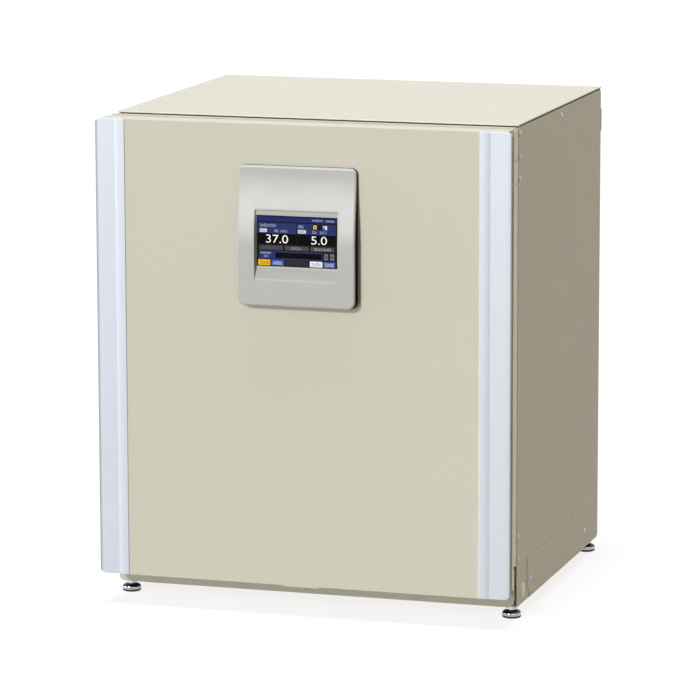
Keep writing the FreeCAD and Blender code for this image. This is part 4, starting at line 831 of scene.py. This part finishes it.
UI = {
    "back": ui_material("screen_back_dark", (26, 26, 29)),
    "blue": ui_material("screen_blue", (46, 54, 108)),
    "head": ui_material("screen_header_blue", (38, 45, 100)),
    "black": ui_material("screen_black", (5, 5, 6)),
    "grey": ui_material("screen_key_grey", (74, 74, 77)),
    "grey_light": ui_material("screen_arrow_grey", (112, 112, 116)),
    "grey_dark": ui_material("screen_key_dark", (46, 46, 49)),
    "line": ui_material("screen_line", (40, 40, 45)),
    "white": ui_material("screen_white", (244, 244, 244), 1.15),
    "pale": ui_material("screen_pale", (216, 219, 230)),
    "soft": ui_material("screen_label", (190, 194, 216)),
    "soft_grey": ui_material("screen_label_grey", (188, 188, 190)),
    "yellow": ui_material("screen_yellow", (252, 192, 48)),
    "key_blue": ui_material("screen_key_blue", (74, 98, 180)),
    "navy": ui_material("screen_navy", (28, 34, 80)),
}
UI_KEYS = list(UI)


def screen():
    lo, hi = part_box("touch_screen")
    w, h = hi.x - lo.x, hi.z - lo.z
    face = lo.y
    bm = bmesh.new()
    tri = []

    def pt(u, v, y):
        return (lo.x + w * u, y, hi.z - h * v)

    def plate(pts, level, mat):
        """A thin raised tile with the given outline in screen shares."""
        y1 = face - level * 0.03 * MM
        y0 = face + 0.02 * MM
        a = [bm.verts.new(pt(u, v, y1)) for u, v in pts]
        b = [bm.verts.new(pt(u, v, y0)) for u, v in pts]
        mi = UI_KEYS.index(mat)
        fs = [bm.faces.new(a), bm.faces.new(list(reversed(b)))]
        for i in range(len(a)):
            j = (i + 1) % len(a)
            fs.append(bm.faces.new((a[i], b[i], b[j], a[j])))
        for f in fs:
            f.material_index = mi

    def rect(u0, v0, u1, v1, level, mat, r=0.0):
        """r is a corner radius in metres."""
        if r <= 0.0:
            plate([(u0, v0), (u1, v0), (u1, v1), (u0, v1)], level, mat)
            return
        ru, rv = r / w, r / h
        pts = []
        for cu, cv, a0 in ((u1 - ru, v0 + rv, -90), (u1 - ru, v1 - rv, 0), (u0 + ru, v1 - rv, 90), (u0 + ru, v0 + rv, 180)):
            for i in range(5):
                a = math.radians(a0 + 90 * i / 4)
                pts.append((cu + ru * math.cos(a), cv + rv * math.sin(a)))
        plate(pts, level, mat)

    def bars(u0, u1, v0, v1, level, mat, seed=1, gap_every=0):
        """Unreadable stand-in for a line of small print: short strokes of uneven height."""
        u = u0
        k = seed
        pitch = 1.15 * MM / w
        i = 0
        while u < u1 - pitch * 0.5:
            k = (k * 7 + 3) % 11
            wide = pitch * (0.42 + 0.04 * (k % 4))
            top = v0 + (v1 - v0) * (0.22 if k % 3 else 0.0)
            bot = v1 - (v1 - v0) * (0.0 if k % 4 else 0.08)
            i += 1
            if not (gap_every and i % gap_every == 0):
                mid = (top + bot) / 2
                if k % 2:
                    plate([(u, top), (u + wide, top), (u + wide, bot), (u, bot)], level, mat)
                else:
                    hw = wide * 1.25
                    t = (bot - top) * 0.26
                    plate([(u, top), (u + hw, top), (u + hw, top + t), (u, top + t)], level, mat)
                    plate([(u, bot - t), (u + hw, bot - t), (u + hw, bot), (u, bot)], level, mat)
            u += pitch

    # glass slab
    rect(0.0, 0.0, 1.0, 1.0, 0.2, "back")
    vs, fs = box_into(bm, lo.x, hi.x, face + 0.03 * MM, hi.y, lo.z, hi.z, UI_KEYS.index("back"))
    rect(0.0, 0.0, 1.0, 0.118, 1, "head")
    rect(0.0, 0.0, 1.0, 0.03, 2, "navy")
    bars(0.69, 0.83, 0.045, 0.088, 3, "soft", 2)
    bars(0.86, 0.97, 0.045, 0.088, 3, "soft", 5)
    rect(0.018, 0.142, 0.492, 0.352, 1, "blue")
    rect(0.502, 0.142, 0.980, 0.352, 1, "blue")
    bars(0.045, 0.245, 0.165, 0.222, 3, "soft", 3)
    bars(0.515, 0.585, 0.172, 0.228, 3, "soft", 7)
    rect(0.040, 0.262, 0.130, 0.332, 2, "pale", 1.1 * MM)
    rect(0.512, 0.262, 0.612, 0.332, 2, "pale", 1.1 * MM)
    bars(0.050, 0.122, 0.276, 0.320, 3, "navy", 4)
    bars(0.524, 0.602, 0.276, 0.320, 3, "navy", 6)
    bars(0.22, 0.27, 0.272, 0.325, 3, "soft", 8)
    bars(0.295, 0.395, 0.272, 0.325, 3, "soft", 1, 3)
    bars(0.69, 0.74, 0.272, 0.325, 3, "soft", 9)
    bars(0.785, 0.875, 0.272, 0.325, 3, "soft", 2, 3)
    rect(0.698, 0.150, 0.752, 0.250, 2, "black", 1.0 * MM)
    rect(0.705, 0.160, 0.746, 0.240, 3, "yellow", 1.4 * MM)
    plate([(0.7255, 0.178), (0.736, 0.222), (0.715, 0.222)], 4, "grey_dark")
    rect(0.756, 0.150, 0.812, 0.250, 2, "black", 1.0 * MM)
    rect(0.768, 0.168, 0.800, 0.236, 3, "line")
    rect(0.774, 0.178, 0.794, 0.226, 4, "black")
    rect(0.816, 0.158, 0.876, 0.246, 2, "key_blue")
    plate([(0.822, 0.176), (0.850, 0.176), (0.836, 0.205)], 3, "white")
    rect(0.852, 0.166, 0.872, 0.240, 3, "white")
    rect(0.018, 0.352, 0.496, 0.562, 1, "black")
    rect(0.502, 0.352, 0.980, 0.562, 1, "black")
    for u0, u1 in ((0.032, 0.330), (0.345, 0.650), (0.664, 0.965)):
        rect(u0, 0.578, u1, 0.682, 2, "line", 1.2 * MM)
        rect(u0 + 0.006, 0.588, u1 - 0.006, 0.672, 3, "grey", 1.0 * MM)
    bars(0.435, 0.555, 0.606, 0.655, 4, "soft_grey", 3, 5)
    bars(0.715, 0.920, 0.606, 0.655, 4, "soft_grey", 8, 7)
    rect(0.030, 0.694, 0.815, 0.862, 1, "blue")
    bars(0.050, 0.180, 0.712, 0.756, 3, "soft", 5)
    bars(0.090, 0.150, 0.782, 0.822, 3, "soft", 2)
    rect(0.232, 0.722, 0.808, 0.834, 2, "black")
    for u0, u1, d in ((0.832, 0.890, -1), (0.905, 0.965, 1)):
        rect(u0, 0.704, u1, 0.846, 2, "line", 1.0 * MM)
        rect(u0 + 0.005, 0.712, u1 - 0.005, 0.838, 3, "grey_light", 0.9 * MM)
        c = (u0 + u1) / 2
        plate([(c - d * 0.011, 0.748), (c + d * 0.013, 0.775), (c - d * 0.011, 0.802)] if d > 0 else [(c + 0.011, 0.748), (c + 0.011, 0.802), (c - 0.013, 0.775)], 4, "navy")
    for u0, u1, mat, ink, seed in (
        (0.020, 0.168, "yellow", "black", 4),
        (0.184, 0.336, "key_blue", "pale", 6),
        (0.352, 0.648, "grey_dark", None, 0),
        (0.660, 0.814, "white", "navy", 3),
        (0.826, 0.972, "key_blue", "pale", 9),
    ):
        rect(u0, 0.872, u1, 0.982, 2, mat, 0.9 * MM)
        if ink:
            bars(u0 + 0.020, u1 - 0.016, 0.896, 0.960, 3, ink, seed)
    # numbers as real outlines
    for text, u0, u1 in (("37.0", 0.118, 0.392), ("5.0", 0.678, 0.872)):
        cu = bpy.data.curves.new("digits", "FONT")
        cu.body = text
        cu.size = 1.0
        cu.resolution_u = 6
        cu.offset = 0.0
        tmp = bpy.data.objects.new("digits_tmp", cu)
        scene.collection.objects.link(tmp)
        bpy.context.view_layer.update()
        me = bpy.data.meshes.new_from_object(tmp)
        xs = [v.co.x for v in me.vertices]
        ys = [v.co.y for v in me.vertices]
        ax, bx, ay, by = min(xs), max(xs), min(ys), max(ys)
        sub = bmesh.new()
        sub.from_mesh(me)
        bmesh.ops.remove_doubles(sub, verts=sub.verts, dist=1e-5)
        low, high = 0.376, 0.538
        for v in sub.verts:
            u = u0 + (u1 - u0) * (v.co.x - ax) / (bx - ax)
            vv = high - (high - low) * (v.co.y - ay) / (by - ay)
            v.co = Vector(pt(u, vv, face - 0.09 * MM))
        r = bmesh.ops.extrude_face_region(sub, geom=list(sub.faces))
        for g in r["geom"]:
            if isinstance(g, bmesh.types.BMVert):
                g.co.y = face + 0.02 * MM
        for f in sub.faces:
            f.material_index = UI_KEYS.index("white")
        tmp_me = bpy.data.meshes.new("digits_mesh")
        sub.to_mesh(tmp_me)
        sub.free()
        bm.from_mesh(tmp_me)
        bpy.data.meshes.remove(tmp_me)
        bpy.data.meshes.remove(me)
        bpy.data.objects.remove(tmp)
        bpy.data.curves.remove(cu)
    bm.normal_update()
    return piece("touch_screen_display", bm, BODY["touch_screen"], [UI[k] for k in UI_KEYS], ["touch_screen"], smooth=False)


screen()


# ------------------------------------------------------------------ levelling feet
def foot(node):
    lo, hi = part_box(node)
    c = ((lo.x + hi.x) / 2, (lo.y + hi.y) / 2, lo.z)
    r = (hi.x - lo.x) / 2
    mm = MM
    prof = [(0.0, 0.0), (r - 3.0 * mm, 0.0), (r - 1.5 * mm, 0.5 * mm), (r - 0.5 * mm, 1.6 * mm), (r - 0.2 * mm, 3.0 * mm), (r - 0.5 * mm, 4.1 * mm)]
    mats = [2, 2, 2, 2, 2]
    prof += [(r - 0.1 * mm, 4.7 * mm), (r, 5.4 * mm), (r - 0.1 * mm, 6.4 * mm), (r - 0.8 * mm, 6.8 * mm)]
    mats += [2, 0, 0, 0]
    # From here up the dome, index 1 is the near-black mirror metal: painted dark reflection bands.
    prof += [(r - 0.3 * mm, 7.4 * mm), (r - 0.2 * mm, 8.4 * mm), (r - 0.6 * mm, 9.3 * mm)]
    mats += [1, 0, 0]
    prof += [(r - 1.2 * mm, 10.4 * mm), (r - 2.4 * mm, 11.6 * mm), (r - 4.4 * mm, 12.7 * mm), (r - 6.6 * mm, 13.3 * mm), (r - 7.4 * mm, 13.6 * mm)]
    mats += [1, 1, 1, 1, 1]
    prof += [(9.6 * mm, 14.0 * mm), (8.4 * mm, 14.6 * mm), (0.0, 14.8 * mm)]
    mats += [1, 1, 0]
    bm = bmesh.new()
    lathe_into(bm, prof, c, "z", 72, mats + [0] * (len(prof) - 1 - len(mats)))
    # hexagonal neck with turned chamfers
    top = 20.0 * mm
    rings = []
    for k, (z, f) in enumerate(((14.3, 0.90), (15.0, 1.0), (18.8, 1.0), (19.6, 0.93))):
        ring = []
        for i in range(48):
            a = 2 * math.pi * i / 48
            seg = (a + math.pi / 6) % (math.pi / 3) - math.pi / 6
            hexr = 9.5 * math.cos(math.pi / 6) / math.cos(seg) * mm
            ring.append(bm.verts.new((c[0] + min(hexr, 9.5 * mm * f) * math.cos(a + math.pi / 6), c[1] + min(hexr, 9.5 * mm * f) * math.sin(a + math.pi / 6), c[2] + z * mm)))
        rings.append(ring)
    for a, b in zip(rings, rings[1:]):
        for i in range(48):
            j = (i + 1) % 48
            f = bm.faces.new((a[i], a[j], b[j], b[i]))
            f.material_index = 3
    f = bm.faces.new(list(reversed(rings[0])))
    f.material_index = 3
    f = bm.faces.new(rings[-1])
    f.material_index = 3
    # threaded stud: a helical ridge wound up the core
    core, crest, pitch = 4.3 * mm, 5.0 * mm, 1.5 * mm
    z_low, z_high = 19.4 * mm, hi.z - lo.z
    turns = int((z_high - z_low) / pitch)
    seg = 24
    prev = None
    total = turns * seg
    first, lastv = None, None
    for q in range(total + 1):
        a = 2 * math.pi * q / seg
        zc = z_low + pitch * q / seg
        ring = []
        for rr, dz in ((core, 0.0), (crest, pitch * 0.35), (crest, pitch * 0.5), (core, pitch * 0.9)):
            ring.append(bm.verts.new((c[0] + rr * math.cos(a), c[1] + rr * math.sin(a), c[2] + min(zc + dz, z_high))))
        ring.append(bm.verts.new((c[0] + core * 0.8 * math.cos(a), c[1] + core * 0.8 * math.sin(a), c[2] + min(zc + pitch * 0.45, z_high))))
        if prev:
            for i in range(5):
                j = (i + 1) % 5
                f = bm.faces.new((prev[i], prev[j], ring[j], ring[i]))
                f.material_index = 3
        else:
            bm.faces.new(ring).material_index = 3
        prev = ring
    bm.faces.new(list(reversed(prev))).material_index = 3
    core_prof = [(0.0, 19.0 * mm), (core, 19.0 * mm), (core, z_high - 0.5 * mm), (core - 0.6 * mm, z_high), (0.0, z_high)]
    lathe_into(bm, core_prof, c, "z", 32, [3, 3, 3, 3])
    bmesh.ops.remove_doubles(bm, verts=bm.verts, dist=1e-7)
    bmesh.ops.dissolve_degenerate(bm, dist=1e-8, edges=bm.edges)
    return piece(node + "_turned", bm, BODY[node], [M["chrome"], M["chrome_reflection_dark"], M["rubber_black"], M["neck"]], [node], angle=34)


for where in ("front_left", "front_right", "rear_left", "rear_right"):
    foot("foot_" + where)


# ------------------------------------------------------------------ door gasket: a bellows profile swept round the frame
def gasket():
    lo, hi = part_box("door_gasket")
    y0, y1 = lo.y, hi.y
    width = 22.0 * MM
    prof = []
    # (distance inwards, depth) around the section
    sec = [(1.0, 0.0), (1.0, 0.22), (0.35, 0.34), (0.35, 0.46), (1.2, 0.58), (0.5, 0.72), (0.5, 0.86), (2.2, 0.97), (5.0, 1.0), (11.0, 0.975), (17.0, 1.0), (19.8, 0.97), (21.4, 0.86), (21.4, 0.72), (20.6, 0.58), (21.5, 0.46), (21.5, 0.34), (20.8, 0.22), (20.8, 0.0)]
    pts = [(a * MM, y0 + (y1 - y0) * b) for a, b in sec]
    bm = bmesh.new()
    cols = []
    r0 = 9.0 * MM
    path = []
    for cx, cz, a0, sx, sz in (
        (lo.x, lo.z, 180, 1, 1), (hi.x, lo.z, 270, -1, 1), (hi.x, hi.z, 0, -1, -1), (lo.x, hi.z, 90, 1, -1),
    ):
        for i in range(7):
            a = math.radians(a0 + 90 * i / 6)
            path.append((cx + sx * 26 * MM, cz + sz * 26 * MM, math.cos(a), math.sin(a)))
    for px, pz, nx, nz in path:
        col = []
        for d, y in pts:
            rad = 26 * MM - d
            col.append(bm.verts.new((px + nx * rad, y, pz + nz * rad)))
        cols.append(col)
    m = len(pts)
    for k in range(len(cols)):
        a, b = cols[k], cols[(k + 1) % len(cols)]
        for i in range(m):
            j = (i + 1) % m
            bm.faces.new((a[i], a[j], b[j], b[i]))
    return piece("door_gasket_bellows", bm, BODY["door_gasket"], [M["rubber"]], ["door_gasket"], angle=60)


gasket()


# ------------------------------------------------------------------ access port stopper: tapered silicone bung with a rolled head
def stopper():
    lo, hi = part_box("access_port_stopper")
    c = ((lo.x + hi.x) / 2, lo.y, (lo.z + hi.z) / 2)
    r = (hi.x - lo.x) / 2
    depth = hi.y - lo.y
    prof = [(0.0, 0.0), (11.8 * MM, 0.0), (12.6 * MM, 0.8 * MM), (12.8 * MM, 3.0 * MM)]
    for k in range(3):
        z = (6.0 + 6.5 * k) * MM
        taper = 13.2 * MM + 0.0297 * z
        prof += [(taper - 0.4 * MM, z), (taper - 0.05 * MM, z + 1.2 * MM), (taper - 0.4 * MM, z + 2.4 * MM)]
    prof += [(13.6 * MM, depth - 11.7 * MM), (r - 0.8 * MM, depth - 11.5 * MM), (r, depth - 10.3 * MM), (r, depth - 3.6 * MM), (r - 0.9 * MM, depth - 1.2 * MM), (r - 3.0 * MM, depth - 0.1 * MM), (r - 5.0 * MM, depth), (r - 7.5 * MM, depth - 0.8 * MM), (0.0, depth - 1.6 * MM)]
    bm = bmesh.new()
    lathe_into(bm, prof, c, "y", 64)
    return piece("access_port_stopper_moulded", bm, BODY["access_port_stopper"], [M["silicone"]], ["access_port_stopper"], angle=40)


stopper()


# ------------------------------------------------------------------ stage, light and camera
def floor_material():
    m = bpy.data.materials.new("studio_floor")
    m.use_nodes = True
    nt = m.node_tree
    nt.nodes.clear()
    out = nt.nodes.new("ShaderNodeOutputMaterial")
    d = nt.nodes.new("ShaderNodeBsdfDiffuse")
    d.inputs["Color"].default_value = (0.24, 0.24, 0.24, 1.0)
    e = nt.nodes.new("ShaderNodeEmission")
    e.inputs["Color"].default_value = (1.0, 1.0, 1.0, 1.0)
    e.inputs["Strength"].default_value = 0.82
    a = nt.nodes.new("ShaderNodeAddShader")
    nt.links.new(d.outputs[0], a.inputs[0])
    nt.links.new(e.outputs[0], a.inputs[1])
    nt.links.new(a.outputs[0], out.inputs["Surface"])
    return m


bm = bmesh.new()
R = 60.0
ring = [bm.verts.new((R * math.cos(2 * math.pi * i / 48), R * math.sin(2 * math.pi * i / 48), -0.0005)) for i in range(48)]
bm.faces.new(ring)
me = bpy.data.meshes.new("studio_floor")
bm.to_mesh(me)
bm.free()
floor = bpy.data.objects.new("studio_floor", me)
me.materials.append(floor_material())
scene.collection.objects.link(floor)
floor.visible_diffuse = False

world = bpy.data.worlds.new("studio")
scene.world = world
world.use_nodes = True
wt = world.node_tree
wt.nodes.clear()
wo = wt.nodes.new("ShaderNodeOutputWorld")
b1 = wt.nodes.new("ShaderNodeBackground")
b1.inputs["Color"].default_value = (0.176, 0.150, 0.105, 1.0)
b1.inputs["Strength"].default_value = 1.0
b2 = wt.nodes.new("ShaderNodeBackground")
b2.inputs["Color"].default_value = (1.0, 1.0, 1.0, 1.0)
b2.inputs["Strength"].default_value = 1.0
mx = wt.nodes.new("ShaderNodeMixShader")
lp = wt.nodes.new("ShaderNodeLightPath")
either = wt.nodes.new("ShaderNodeMath")
either.operation = "MAXIMUM"
wt.links.new(lp.outputs["Is Camera Ray"], either.inputs[0])
wt.links.new(lp.outputs["Is Glossy Ray"], either.inputs[1])
wt.links.new(either.outputs[0], mx.inputs["Fac"])
wt.links.new(b1.outputs[0], mx.inputs[1])
wt.links.new(b2.outputs[0], mx.inputs[2])
wt.links.new(mx.outputs[0], wo.inputs["Surface"])


def sun(name, toward, strength, colour, angle):
    l = bpy.data.lights.new(name, "SUN")
    l.energy = strength
    l.color = colour
    l.angle = math.radians(angle)
    o = bpy.data.objects.new(name, l)
    o.rotation_euler = Vector(toward).to_track_quat("Z", "Y").to_euler()
    scene.collection.objects.link(o)
    return o


def area(name, at, aim, sx, sy, radiance, colour, diffuse=True):
    l = bpy.data.lights.new(name, "AREA")
    l.shape = "RECTANGLE"
    l.size, l.size_y = sx, sy
    l.energy = radiance * math.pi * sx * sy
    l.color = colour
    o = bpy.data.objects.new(name, l)
    o.location = at
    o.rotation_euler = (Vector(at) - Vector(aim)).to_track_quat("Z", "Y").to_euler()
    o.visible_camera = False
    o.visible_diffuse = diffuse
    scene.collection.objects.link(o)
    return o


sun("key_high", (-0.34, -0.90, 0.42), 1.40, (0.985, 0.997, 1.0), 7)
sun("key_low", (-0.28, -0.96, 0.10), 0.86, (0.985, 0.997, 1.0), 12)
sun("overhead", (-0.02, -0.03, 1.0), 1.92, (0.97, 1.0, 1.10), 14)
sun("side", (0.96, 0.15, 0.22), 0.385, (1.0, 0.857, 0.62), 30).visible_glossy = False
sun("back_fill", (-0.1, 0.99, 0.02), 1.1, (1.0, 0.99, 0.97), 20).visible_glossy = False
sun("left_fill", (-0.99, -0.06, 0.10), 1.1, (0.97, 1.0, 1.03), 20).visible_glossy = False
area("left_strip", (-3.6, -1.2, 0.9), (0.0, -0.3, 0.5), 1.2, 2.6, 6.0, (1.0, 1.0, 1.0), diffuse=False)
area("front_right_strip", (2.8, -3.6, 0.6), (0.0, -0.3, 0.5), 0.7, 2.4, 2.0, (1.0, 1.0, 1.0), diffuse=False)

cam = bpy.data.cameras.new("camera")
cam.lens = 214.49
cam.sensor_width = 36.0
cam.sensor_fit = "HORIZONTAL"
cam.clip_end = 200.0
co = bpy.data.objects.new("camera", cam)
scene.collection.objects.link(co)
yaw, pitch, roll = math.radians(17.139), math.radians(10.166), math.radians(-0.134)
fwd = Vector((-math.sin(yaw) * math.cos(pitch), math.cos(yaw) * math.cos(pitch), -math.sin(pitch)))
right = Vector((math.cos(yaw), math.sin(yaw), 0.0))
up = right.cross(fwd)
r2 = right * math.cos(roll) + up * math.sin(roll)
u2 = up * math.cos(roll) - right * math.sin(roll)
co.matrix_world = Matrix((
    (r2.x, u2.x, -fwd.x, 2.2158),
    (r2.y, u2.y, -fwd.y, -7.2510),
    (r2.z, u2.z, -fwd.z, 1.7887),
    (0.0, 0.0, 0.0, 1.0),
))
scene.camera = co

scene.view_settings.view_transform = "Standard"
scene.view_settings.look = "None"
scene.view_settings.exposure = 0.0
scene.view_settings.gamma = 1.0

bpy.context.view_layer.update()
